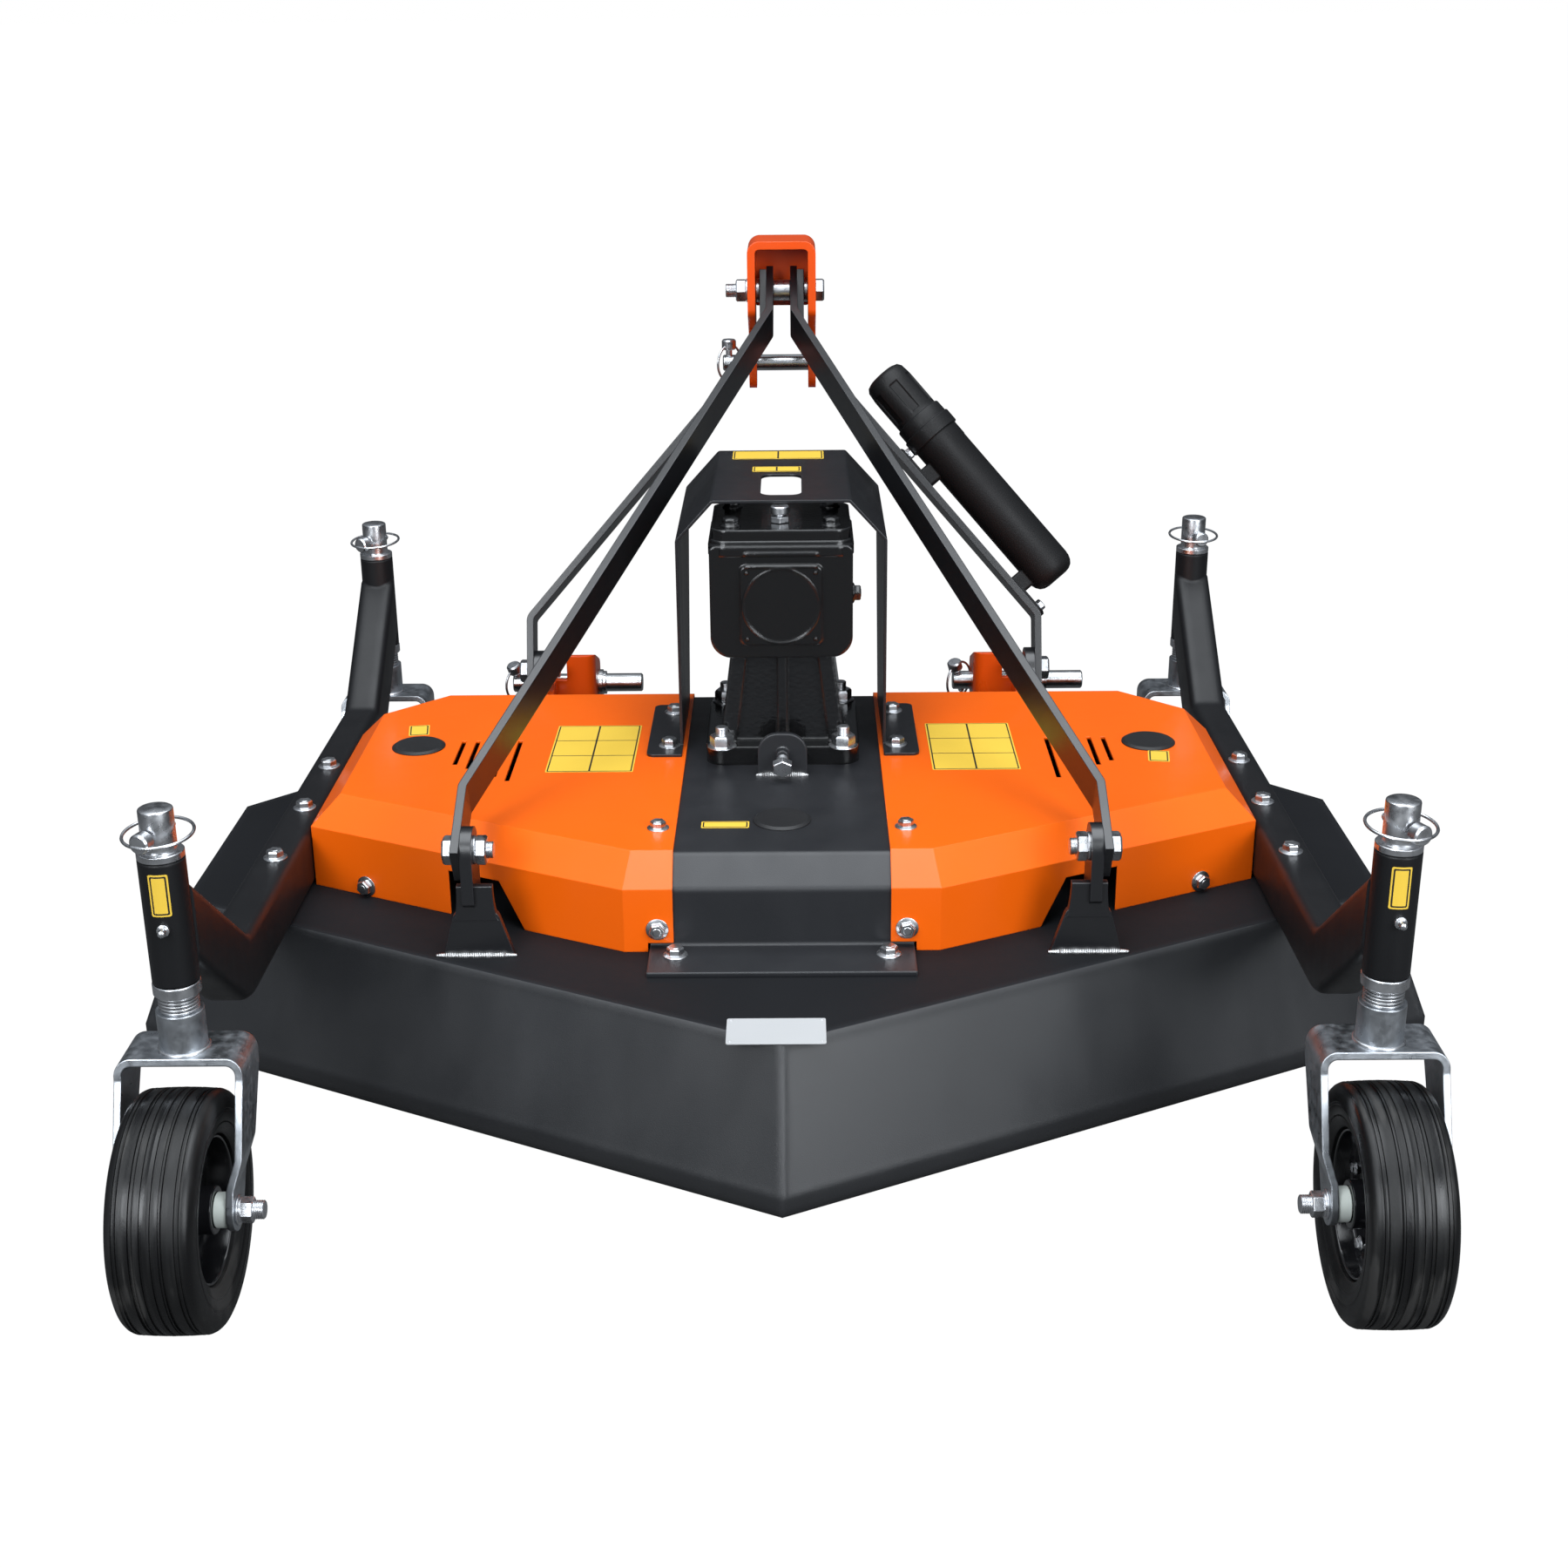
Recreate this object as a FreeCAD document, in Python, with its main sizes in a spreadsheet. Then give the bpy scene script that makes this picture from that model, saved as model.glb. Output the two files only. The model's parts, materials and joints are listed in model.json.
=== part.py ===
"""Finishing mower for a three-point hitch, millimetres, +Z up, +Y towards the tractor, +X to the right.
The origin is on the ground at the middle of the machine's length and width."""
import FreeCAD
import Part
import math
import os
import re
import Sketcher
from FreeCAD import Placement, Rotation, Vector

doc = FreeCAD.newDocument("finishing_mower")

# Driving dimensions: name, value in mm or degrees, meaning
SIZES = [
    ("rear_post_y", -442, "place of the rear caster posts along the machine"),
    ("front_swing", 135, "front edge of the deck's top to the front caster posts"),
    ("post_outside", 105, "outer blade spindles to the caster posts across the machine"),
    ("post_radius", 19, "outside of the post tube"),
    ("post_clear", 11, "stack of washers to the post tube"),
    ("post_height", 108, "length of the post tube"),
    ("pivot_radius", 13.95, "caster pivot pin"),
    ("pivot_clearance", 0.05, "running clearance round a pin"),
    ("gap", 0.3, "gap between faces that turn on each other"),
    ("pivot_end", 42, "post tube to the top of the caster pivot pin"),
    ("washer_plate", 6, "thick washer on top of the post"),
    ("trail", 56, "caster pivot to axle"),
    ("wheel_radius", 100, "outside of the tyre"),
    ("tyre_width", 70, "width of the tyre"),
    ("tyre_shoulder", 9, "rounding of the tyre's shoulders"),
    ("rim_radius", 62, "seat of the tyre on the rim"),
    ("rim_width", 50, "width of the rim"),
    ("rim_sheet", 3, "sheet of the rim's disc"),
    ("rim_dish", 12, "depth of the rim's dish"),
    ("hub_radius", 20, "hub tube in the rim"),
    ("hub_length", 72, "length of the hub tube"),
    ("axle_radius", 8, "wheel axle bolt"),
    ("axle_length", 108, "wheel axle bolt under its head"),
    ("bush_radius", 15, "nylon bush between hub and fork"),
    ("fork_top", 221, "top face of the caster fork"),
    ("fork_plate", 6, "flat bar of the fork"),
    ("fork_width", 105, "outside width of the fork"),
    ("fork_bend", 8, "inner radius of the fork's bends"),
    ("fork_rear", 23, "fork's flat top behind the pivot"),
    ("fork_front", 27, "fork's flat top ahead of the pivot"),
    ("fork_eye", 17, "round end of a fork leg"),
    ("collar_radius", 19.5, "collar on the fork"),
    ("collar_height", 35, "height of the collar"),
    ("spacer_radius", 16.5, "stack of washers above the collar"),
    ("spacer_height", 15, "height of the stack of washers"),
    ("arm_width", 40, "width of a wheel arm's box section"),
    ("arm_height", 60, "height of a wheel arm's box section"),
    ("arm_corner", 156, "post to the bend of a wheel arm"),
    ("arm_slope", 38, "rise of a wheel arm's end"),
    ("arm_bend", 16, "inner radius of a wheel arm's bends"),
    ("arm_end", 6, "caster post's axis to the end of an arm's box section"),
    ("arm_clear", 5, "wheel arm to the turning collar under the post tube"),
    ("deck_top", 190, "top face of the deck"),
    ("deck_bottom", 50, "lower edge of the deck's skirt"),
    ("deck_sheet", 4, "sheet of the deck"),
    ("rim_lip", 18, "upright lip at the foot of the skirt"),
    ("blade_side", 2, "blade tips to the side edge of the deck's top"),
    ("deck_nose", 57, "rear point of the deck's top from the rear posts"),
    ("side_behind", 189, "outer blade spindles to the rear corner of the deck's top"),
    ("side_ahead", 62, "outer blade spindles to the front end of the deck's side edge"),
    ("deck_shoulder", 127, "side edge to the front shoulder, both ways"),
    ("blade_front", 30, "blade tips to the front edge of the deck's top"),
    ("deck_front_half", 298, "half of the straight front edge"),
    ("skirt_rear", 46, "outward slope of the rear and side skirts"),
    ("skirt_front", 14, "outward slope of the front skirts"),
    ("cover_sheet", 3, "sheet of the belt covers"),
    ("cover_height", 91, "top face of the deck to the top face of the belt covers"),
    ("cover_bevel", 28, "bevel along the covers' edges"),
    ("cover_arm", 1, "belt cover's side wall to the wheel arm"),
    ("cover_rear", 238, "rear wall of the covers from the rear posts"),
    ("cover_inner", 101, "middle to a cover's inner edge"),
    ("cover_nook", 147, "middle to a cover's first rear corner"),
    ("cover_behind", 153, "outer blade spindles to a cover's rear corner at its side wall"),
    ("cover_ledge", 36, "front wall of the covers to the deck's front edge"),
    ("cover_cut", 80, "cut of a cover's front corner, both ways"),
    ("cover_lift", 1, "bend of the bridge's foot to a cover's rear wall"),
    ("slot_width", 5, "vent slot"),
    ("slot_pitch", 15, "vent slot to vent slot"),
    ("slot_inside", 106, "outer blade spindle to the innermost vent slot"),
    ("slot_ahead", 17, "outer blade spindles to the front end of the vent slots"),
    ("slot_length", 120, "innermost vent slot"),
    ("slot_step", 12, "each next vent slot is shorter by this"),
    ("bridge_half", 123, "half width of the centre bridge"),
    ("bridge_foot", 58, "depth of the bridge's rear foot"),
    ("bridge_sheet", 5, "sheet of the centre bridge"),
    ("bridge_bend", 3, "inner radius of the bridge's bends"),
    ("spindle_x", 385, "middle to an outer blade spindle"),
    ("spindle_stagger", 206, "centre blade spindle to the outer ones along the machine"),
    ("spindle_rear_y", 346, "centre blade spindle from the rear posts"),
    ("cap_radius", 28, "round cap over a spindle"),
    ("cap_height", 3, "height of a spindle cap"),
    ("housing_radius", 45, "spindle housing under the deck"),
    ("housing_flange", 70, "flange of a spindle housing"),
    ("housing_height", 62, "height of a spindle housing"),
    ("spindle_radius", 15, "blade spindle shaft"),
    ("blade_tip", 204, "spindle to blade tip"),
    ("blade_width", 62, "width of a blade"),
    ("blade_plate", 6, "thickness of a blade"),
    ("blade_level", 78, "lower face of the blades above the ground"),
    ("blade_lift", 16, "upturned wing of a blade"),
    ("blade_wing", 64, "length of a blade's wing"),
    ("gearbox_ahead", 25, "outer blade spindles to the gearbox"),
    ("flange_half_x", 79, "half width of the gearbox's foot flange"),
    ("flange_half_y", 79, "half depth of the gearbox's foot flange"),
    ("flange_plate", 20, "thickness of the foot flange"),
    ("pedestal_bottom", 64, "half width of the pedestal at the flange"),
    ("pedestal_top", 52, "half width of the pedestal at the case"),
    ("rib_half", 5, "half thickness of the pedestal's middle rib"),
    ("rib_corner", 16, "pedestal's corner ribs"),
    ("flute_depth", 9, "depth of the pedestal's flutes"),
    ("case_under", 56, "input shaft to the lower face of the gearbox case"),
    ("case_over", 60, "input shaft to the joint face of the gearbox's top cover"),
    ("case_half_x", 72, "half width of the gearbox case"),
    ("case_rear", 73, "gearbox middle to the rear face of the case"),
    ("case_front", 50, "gearbox middle to the front face of the case"),
    ("case_round", 22, "rounding of the case's edges"),
    ("lid_height", 16, "height of the gearbox's top cover"),
    ("boss_half", 41, "square bearing boss on the case's rear face"),
    ("boss_depth", 6, "depth of the square boss"),
    ("shaft_over", 167, "top face of the belt covers to the input shaft"),
    ("snout_radius", 42, "bearing snout on the case's front face"),
    ("snout_length", 45, "length of the bearing snout"),
    ("journal_radius", 20, "input shaft inside its bearing snout"),
    ("shaft_radius", 17.4, "splined end of the input shaft"),
    ("shaft_length", 78, "free length of the input shaft"),
    ("shield_behind", 32, "gearbox to the rear edge of the shaft shield"),
    ("shield_length", 240, "length of the shaft shield"),
    ("shield_over", 21, "gearbox cover to the top face of the shaft shield"),
    ("shield_half", 108, "half width of the shaft shield"),
    ("shield_flat", 70, "half width of the shield's flat top"),
    ("shield_drop", 40, "height of the shield's chamfers"),
    ("shield_sheet", 3, "sheet of the shaft shield"),
    ("shield_foot", 34, "outward foot of the shield"),
    ("window_half", 21, "half width of the window in the shield's top"),
    ("lug_x", 288, "middle to a rear lug's eye plate"),
    ("lug_plate", 11, "plate of the lugs"),
    ("lug_eye_radius", 22, "round end of a lug"),
    ("lug_behind", 3, "foot plate of a rear lug behind the covers' rear wall"),
    ("lug_foot_half", 33, "half width of a rear lug's foot plate"),
    ("lug_foot_plate", 8, "thickness of a rear lug's foot plate"),
    ("lug_foot_height", 46, "height of a rear lug's foot plate"),
    ("lug_foot_neck", 39, "width of a rear lug's foot plate at its top"),
    ("lug_length", 62, "length of a rear lug's eye plate along the deck"),
    ("lug_neck", 42, "deck to the narrow part of a lug's eye plate"),
    ("lug_step", 9, "rear edge of a rear lug's eye plate behind its foot plate"),
    ("lug_eye_ahead", 13, "foot plate of a rear lug to its eye"),
    ("lug_eye_over", 100, "deck to the eye of a rear lug"),
    ("bolt_flats", 24, "hexagon heads and nuts of the frame across their flats"),
    ("bolt_head", 10, "height of a strut bolt's head"),
    ("bolt_nut", 12, "height of a strut bolt's nut"),
    ("bolt_end", 6, "thread that stands out of a nut"),
    ("strut_plate", 8, "thickness of a strut"),
    ("strut_width", 40, "width of a strut"),
    ("strut_hole", 8.5, "bolt hole in a strut"),
    ("strut_end", 20, "strut beyond its bolt hole"),
    ("strut_tail", 62, "bolt hole to a strut's bend"),
    ("strut_bend", 8, "inner radius of a strut's bends"),
    ("mast_ahead", 214, "deck's front edge to the top pivot of the A-frame"),
    ("mast_level", 691, "height of the top pivot"),
    ("mast_gap", 20, "spacer tube between the rear struts"),
    ("mast_bolt", 8, "top pivot bolt"),
    ("mast_nut", 14, "height of the top pivot bolt's nut"),
    ("mast_washer", 14, "washers between the struts and the top link bracket"),
    ("mast_tube", 12, "spacer tube between the rear struts"),
    ("front_lug_x", 289, "middle to a front lug's plate"),
    ("front_lug_back", 34, "deck's front edge to the rear edge of a front lug"),
    ("front_eye_radius", 24, "front lug round its strut eye"),
    ("hitch_eye_radius", 28, "front lug round the pivot of a lower hitch link"),
    ("front_eye_ahead", 52, "deck's front edge to the strut eye of a front lug"),
    ("front_eye_over", 82, "deck to the strut eye of a front lug"),
    ("bracket_half", 40, "half width of the top link bracket"),
    ("bracket_plate", 9, "plate of the top link bracket"),
    ("bracket_crown", 60, "top pivot to the top of the top link bracket"),
    ("bracket_depth", 70, "depth of the top link bracket"),
    ("bracket_end", 29, "top link pin to the lower end of its bracket"),
    ("link_pin_ahead", 23, "top pivot to the top link pin along the machine"),
    ("link_pin_drop", 89, "top pivot down to the top link pin"),
    ("link_pin_radius", 9.5, "top link pin"),
    ("hitch_plate", 8, "plate of a lower hitch link"),
    ("hitch_width", 56, "outside width of a lower hitch link"),
    ("hitch_side_gap", 1, "lug to lower hitch link"),
    ("hitch_ear_gap", 4, "lug to the outer ear of a lower hitch link"),
    ("hitch_nose_ahead", 30, "lower hitch pin to the front end of its link"),
    ("hitch_under", 26, "pivot of a lower hitch link down to its lower edge"),
    ("hitch_over", 56, "pivot of a lower hitch link up to its top edge"),
    ("hitch_pivot_ahead", 59, "deck's front edge to the pivot of a lower hitch link"),
    ("hitch_pivot_over", 36, "deck to the pivot of a lower hitch link"),
    ("hitch_pin_ahead", 51, "pivot of a lower hitch link to its pin along the machine"),
    ("hitch_pin_over", 12, "pivot of a lower hitch link up to its pin"),
    ("hitch_pin_radius", 11, "lower hitch pin"),
    ("hitch_pin_free", 44, "free length of a lower hitch pin"),
    ("hitch_shoulder", 6, "shoulder of a lower hitch pin against its link"),
    ("hitch_collar", 4, "collar beside the free end of a lower hitch pin"),
    ("hitch_pin_length", 157, "lower hitch pin from end to end"),
    ("tube_radius", 29, "manual tube"),
    ("tube_length", 225, "manual tube under its cap"),
    ("tube_tab", 14, "strut's face to the manual tube"),
    ("tube_ear", 46, "ear of the manual tube along the strut"),
    ("tube_shift", 38, "manual tube below the middle of the strut"),
    ("tube_cap_radius", 32, "cap of the manual tube"),
    ("tube_cap_length", 95, "length of the manual tube's cap"),
]
# Sizes that follow from the driving ones, as expression text
FOLLOWS = {
    "post_bottom": "fork_top + collar_height + spacer_height + post_clear",
    "pivot_top": "post_bottom + post_height + pivot_end",
    "spindle_y": "spindle_rear_y + spindle_stagger",
    "deck_half": "spindle_x + blade_tip + blade_side",
    "deck_corner": "spindle_y - side_behind",
    "deck_side": "spindle_y + side_ahead",
    "post_x": "spindle_x + post_outside",
    "deck_front": "spindle_y + blade_tip + blade_front",
    "wheelbase": "deck_front + front_swing",
    "cover_top": "deck_top + cover_height",
    "cover_side": "post_x - arm_width / 2 - cover_arm",
    "cover_back": "spindle_y - cover_behind",
    "cover_front": "deck_front - cover_ledge",
    "slot_x": "spindle_x - slot_inside",
    "slot_front": "spindle_y + slot_ahead",
    "gearbox_y": "spindle_y + gearbox_ahead",
    "shaft_level": "cover_top + shaft_over",
    "case_bottom": "shaft_level - case_under",
    "case_top": "shaft_level + case_over",
    "shield_rear": "gearbox_y - shield_behind",
    "shield_top": "case_top + lid_height + shield_over",
    "lug_foot_y": "cover_rear - lug_behind",
    "lug_eye_y": "lug_foot_y + lug_eye_ahead",
    "lug_eye_level": "deck_top + lug_eye_over",
    "mast_y": "deck_front + mast_ahead",
    "front_eye_y": "deck_front + front_eye_ahead",
    "front_eye_level": "deck_top + front_eye_over",
    "bracket_top": "mast_level + bracket_crown",
    "link_pin_y": "mast_y + link_pin_ahead",
    "link_pin_level": "mast_level - link_pin_drop",
    "bracket_bottom": "link_pin_level - bracket_end",
    "hitch_pivot_y": "deck_front + hitch_pivot_ahead",
    "hitch_pivot_level": "deck_top + hitch_pivot_over",
    "hitch_pin_y": "hitch_pivot_y + hitch_pin_ahead",
    "hitch_pin_level": "hitch_pivot_level + hitch_pin_over",
    "hitch_nose": "hitch_pin_y + hitch_nose_ahead",
}
sheet = doc.addObject("Spreadsheet::Sheet", "dims")
for row, (alias, value, meaning) in enumerate(SIZES, 1):
    sheet.set("A%d" % row, meaning)
    sheet.set("B%d" % row, str(value))
    sheet.setAlias("B%d" % row, alias)
doc.recompute()
ALIASES = {alias for alias, value, meaning in SIZES}
NODES = []


def bound(text):
    """Expression text with every size's name pointing at its cell, or at the cells that it follows from."""
    def cell(match):
        word = match.group(0)
        if word in FOLLOWS:
            return "(" + bound(FOLLOWS[word]) + ")"
        return "dims." + word if word in ALIASES else word
    return re.sub(r"[a-z][a-z_]*", cell, text)


def measure(text):
    """Present value of expression text."""
    return float(sheet.evalExpression(bound(text)))


D = {name: measure(name) for name in list(ALIASES) + list(FOLLOWS)}


def bind(thing, **links):
    """Tie properties to the driving dimensions; x, y and z stand for the placement's position."""
    names = {"x": "Placement.Base.x", "y": "Placement.Base.y", "z": "Placement.Base.z"}
    for name, text in links.items():
        thing.setExpression(names.get(name, name), bound(text))
    return thing


def node(thing, name):
    """Name a finished sub-part and list it for export."""
    thing.Label = name
    NODES.append(thing)
    return thing


def sketch(body, role, points):
    """Closed outline through (u, v) points given as expression text, on an origin plane of the body."""
    plane = [datum for datum in body.Origin.OriginFeatures if datum.Role == role][0]
    outline = body.newObject("Sketcher::SketchObject", body.Name + "_outline")
    outline.AttachmentSupport = [(plane, "")]
    outline.MapMode = "FlatFace"
    sheet_values = [[measure(text) for text in point] for point in points]
    count = len(points)
    for i, start in enumerate(sheet_values):
        end = sheet_values[(i + 1) % count]
        outline.addGeometry(Part.LineSegment(Vector(start[0], start[1], 0), Vector(end[0], end[1], 0)))
    for i in range(count):
        outline.addConstraint(Sketcher.Constraint("Coincident", i, 2, (i + 1) % count, 1))
    for i, point in enumerate(points):
        for kind, text, now in zip(("DistanceX", "DistanceY"), point, sheet_values[i]):
            index = outline.addConstraint(Sketcher.Constraint(kind, -1, 1, i, 1, now))
            outline.setExpression("Constraints[%d]" % index, bound(text))
    return outline


def turned(name, profile, turn=None, **place):
    """Body of revolution: profile is a list of (radius, height) expression texts about the body's Z."""
    body = doc.addObject("PartDesign::Body", name)
    outline = sketch(body, "XZ_Plane", profile)
    spin = body.newObject("PartDesign::Revolution", name + "_spin")
    spin.Profile = (outline, [""])
    spin.ReferenceAxis = (outline, ["V_Axis"])
    spin.Angle = 360
    if turn:
        body.Placement.Rotation = turn
    return bind(body, **place)


def rod(name, radius, length, turn=None, **place):
    """Part cylinder bound to the driving dimensions."""
    piece = doc.addObject("Part::Cylinder", name)
    if turn:
        piece.Placement.Rotation = turn
    return bind(piece, Radius=radius, Height=length, **place)


def fuse(name, pieces):
    joined = doc.addObject("Part::MultiFuse", name)
    joined.Shapes = pieces
    joined.Refine = True
    return joined


def made(name, shape):
    """Sub-part with a shape of its own, at the rear posts' place along the machine."""
    piece = doc.addObject("Part::Feature", name)
    piece.Shape = shape
    return bind(piece, y="rear_post_y")


def inset(points, distance):
    """Polygon of (x, y) points, counterclockwise, with each side moved inwards."""
    moved = []
    distances = distance if isinstance(distance, list) else [distance] * len(points)
    for i, here in enumerate(points):
        before, after = points[i - 1], points[(i + 1) % len(points)]
        lines = []
        for a, b, gap in ((before, here, distances[i - 1]), (here, after, distances[i])):
            run = math.hypot(b[0] - a[0], b[1] - a[1])
            nx, ny = -(b[1] - a[1]) / run, (b[0] - a[0]) / run
            lines.append((nx, ny, nx * a[0] + ny * a[1] + gap))
        (a1, b1, c1), (a2, b2, c2) = lines
        det = a1 * b2 - a2 * b1
        if abs(det) < 1e-9:
            moved.append((here[0] + a2 * distances[i], here[1] + b2 * distances[i]))
        else:
            moved.append(((c1 * b2 - c2 * b1) / det, (a1 * c2 - a2 * c1) / det))
    return moved


PLANES = {
    "XY": lambda u, v, w: Vector(u, v, w),
    "XZ": lambda u, v, w: Vector(u, w, v),
    "YZ": lambda u, v, w: Vector(w, u, v),
}


def outline_face(points, plane="XY", level=0.0, radii=None):
    """Flat face through (u, v) points, each corner rounded by its radius."""
    to_space = PLANES[plane]
    radii = radii or [0.0] * len(points)
    edges, ends = [], []
    for i, here in enumerate(points):
        before, after = points[i - 1], points[(i + 1) % len(points)]
        if not radii[i]:
            ends.append((here, here, None))
            continue
        to_before = unit(here, before)
        to_after = unit(here, after)
        half = math.acos(max(-1, min(1, to_before[0] * to_after[0] + to_before[1] * to_after[1]))) / 2
        reach = radii[i] / math.tan(half)
        bisector = unit((0, 0), (to_before[0] + to_after[0], to_before[1] + to_after[1]))
        depth = radii[i] / math.sin(half) - radii[i]
        ends.append((
            (here[0] + to_before[0] * reach, here[1] + to_before[1] * reach),
            (here[0] + to_after[0] * reach, here[1] + to_after[1] * reach),
            (here[0] + bisector[0] * depth, here[1] + bisector[1] * depth),
        ))
    for i, (start, end, middle) in enumerate(ends):
        if middle:
            edges.append(Part.Arc(*[to_space(p[0], p[1], level) for p in (start, middle, end)]).toShape())
        following = ends[(i + 1) % len(ends)][0]
        if math.hypot(following[0] - end[0], following[1] - end[1]) > 1e-6:
            edges.append(Part.makeLine(to_space(*end, level), to_space(*following, level)))
    return Part.Face(Part.Wire(edges))


def unit(a, b):
    run = math.hypot(b[0] - a[0], b[1] - a[1])
    return ((b[0] - a[0]) / run, (b[1] - a[1]) / run)


def strip(points, thickness, bend, plane, low, high):
    """Bar bent from flat stock: its centre line through (u, v) points, extruded from low to high."""
    half = thickness / 2
    sides = {1: [], -1: []}
    rounds = {1: [], -1: []}
    for i, here in enumerate(points):
        into = unit(points[i - 1], here) if i else unit(here, points[1])
        out = unit(here, points[i + 1]) if i + 1 < len(points) else into
        turn = into[0] * out[1] - into[1] * out[0]
        along = 1 + into[0] * out[0] + into[1] * out[1]
        for side in (1, -1):
            sides[side].append((
                here[0] - side * half * (into[1] + out[1]) / along,
                here[1] + side * half * (into[0] + out[0]) / along,
            ))
            inner = turn * side > 0
            rounds[side].append(0.0 if abs(turn) < 1e-9 else bend if inner else bend + thickness)
    face = outline_face(sides[1] + sides[-1][::-1], plane, low, rounds[1] + rounds[-1][::-1])
    return face.extrude(PLANES[plane](0, 0, high - low))


def plate(points, plane, low, high, radii=None):
    """Flat plate with the given outline, from low to high across its plane."""
    return outline_face(points, plane, low, radii).extrude(PLANES[plane](0, 0, high - low))


def rectangle(u, v, half_u, half_v):
    """Corners of a rectangle about a middle."""
    return [(u + a * half_u, v + b * half_v) for a, b in ((-1, -1), (1, -1), (1, 1), (-1, 1))]


def capsule(a, b, radius, plane, low, high):
    """Straight bar with round ends about two eyes."""
    along = unit(a, b)
    across = (-along[1] * radius, along[0] * radius)
    side = [(a[0] + across[0], a[1] + across[1]), (a[0] - across[0], a[1] - across[1]),
            (b[0] - across[0], b[1] - across[1]), (b[0] + across[0], b[1] + across[1])]
    body = plate(side, plane, low, high)
    ends = [drum(point, radius, plane, low, high) for point in (a, b)]
    return body.fuse(ends).removeSplitter()


def drum(centre, radius, plane, low, high):
    """Round bar or hole across a plane."""
    to_space = PLANES[plane]
    return Part.makeCylinder(radius, high - low, to_space(centre[0], centre[1], low), to_space(0, 0, 1))


def tower(levels):
    """Solid with flat walls through two polygons of (x, y) points with parallel sides, each at its height."""
    rings = [[Vector(x, y, z) for x, y in points] for z, points in levels]
    count = len(rings[0])
    corners = [rings[0][::-1], rings[1]]
    for i in range(count):
        j = (i + 1) % count
        corners.append([rings[0][i], rings[0][j], rings[1][j], rings[1][i]])
    faces = [Part.Face(Part.makePolygon(ring + ring[:1])) for ring in corners]
    return Part.makeSolid(Part.makeShell(faces))


def mirrored(points):
    """Right half of an outline, from the rear point round to the front, made whole."""
    left = [(-x, y) for x, y in reversed(points) if x > 0]
    return points + left


# Deck: a hollow pan of sheet, ten-sided, with sloping skirts and an upright lip round its foot
def deck_outline(level, thickness=0.0):
    """Outline of the pan at a height, inside of the sheet if it has a thickness."""
    side = D["deck_half"] - D["deck_shoulder"]
    shoulder = D["deck_side"] + D["deck_shoulder"]
    top = mirrored([
        (0, D["deck_nose"]), (D["deck_half"], D["deck_corner"]), (D["deck_half"], D["deck_side"]),
        (side, shoulder), (D["deck_front_half"], D["deck_front"]),
    ])
    lip_top = D["deck_bottom"] + D["rim_lip"]
    share = min(1.0, (D["deck_top"] - level) / (D["deck_top"] - lip_top))
    rear, front = (thickness - share * D[name] for name in ("skirt_rear", "skirt_front"))
    return inset(top, [rear, rear, rear, front, front, front, rear, rear, rear])


def pan(thickness, top, bottom):
    lip_top = D["deck_bottom"] + D["rim_lip"]
    slope = tower([(lip_top, deck_outline(lip_top, thickness)), (top, deck_outline(top, thickness))])
    lip = tower([(bottom, deck_outline(lip_top, thickness)), (lip_top, deck_outline(lip_top, thickness))])
    return slope.fuse(lip).removeSplitter()


deck = pan(0, D["deck_top"], D["deck_bottom"]).cut(
    pan(D["deck_sheet"], D["deck_top"] - D["deck_sheet"], D["deck_bottom"] - 1))
node(made("deck_plate", deck), "deck_shell")

# Centre bridge: a folded plate over the belt, on a bolted rear foot
BRIDGE_TOP = D["cover_top"] - D["cover_sheet"]
bevel_level = D["cover_top"] - D["cover_bevel"]
hat = [(D["cover_rear"], D["deck_top"]), (D["cover_front"], D["deck_top"]), (D["cover_front"], bevel_level),
       (D["cover_front"] - D["cover_bevel"], D["cover_top"]),
       (D["cover_rear"] + D["cover_bevel"], D["cover_top"]), (D["cover_rear"], bevel_level)]
half_sheet = D["bridge_sheet"] / 2
step_in = D["cover_sheet"] + half_sheet
hat = inset(hat, [0] + [step_in] * 5)
foot_level = D["deck_top"] + half_sheet
fold = [(D["cover_rear"] + D["cover_sheet"] - D["bridge_foot"], foot_level), (hat[0][0], foot_level),
        hat[5], hat[4], hat[3], hat[2], hat[1]]
bridge = strip(fold, D["bridge_sheet"], D["bridge_bend"], "YZ", -D["bridge_half"], D["bridge_half"])
node(made("bridge_plate", bridge), "centre_bridge")


# Belt covers: folded sheet with bevelled edges, a chamfered front corner and vent slots
def cover_outline(level, thickness=0.0):
    corner = D["cover_front"] - D["cover_cut"]
    foot = [
        (D["cover_inner"], D["cover_rear"]), (D["cover_nook"], D["cover_rear"]),
        (D["cover_side"], D["cover_back"]), (D["cover_side"], corner),
        (D["cover_side"] - D["cover_cut"], D["cover_front"]), (D["cover_inner"], D["cover_front"]),
    ]
    bevel = max(0.0, level - (D["cover_top"] - D["cover_bevel"]) + thickness * math.sqrt(2))
    edge = max(thickness, bevel)
    return inset(foot, [edge] * 5 + [-1 if thickness else 0])


def cover_solid(thickness, bottom):
    fold_level = D["cover_top"] - D["cover_bevel"] - thickness * (math.sqrt(2) - 1)
    top = D["cover_top"] - thickness
    foot = cover_outline(fold_level, thickness)
    walls = tower([(bottom, foot), (fold_level, foot)])
    bevels = tower([(fold_level, foot), (top, cover_outline(top, thickness))])
    return walls.fuse(bevels).removeSplitter()


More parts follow.
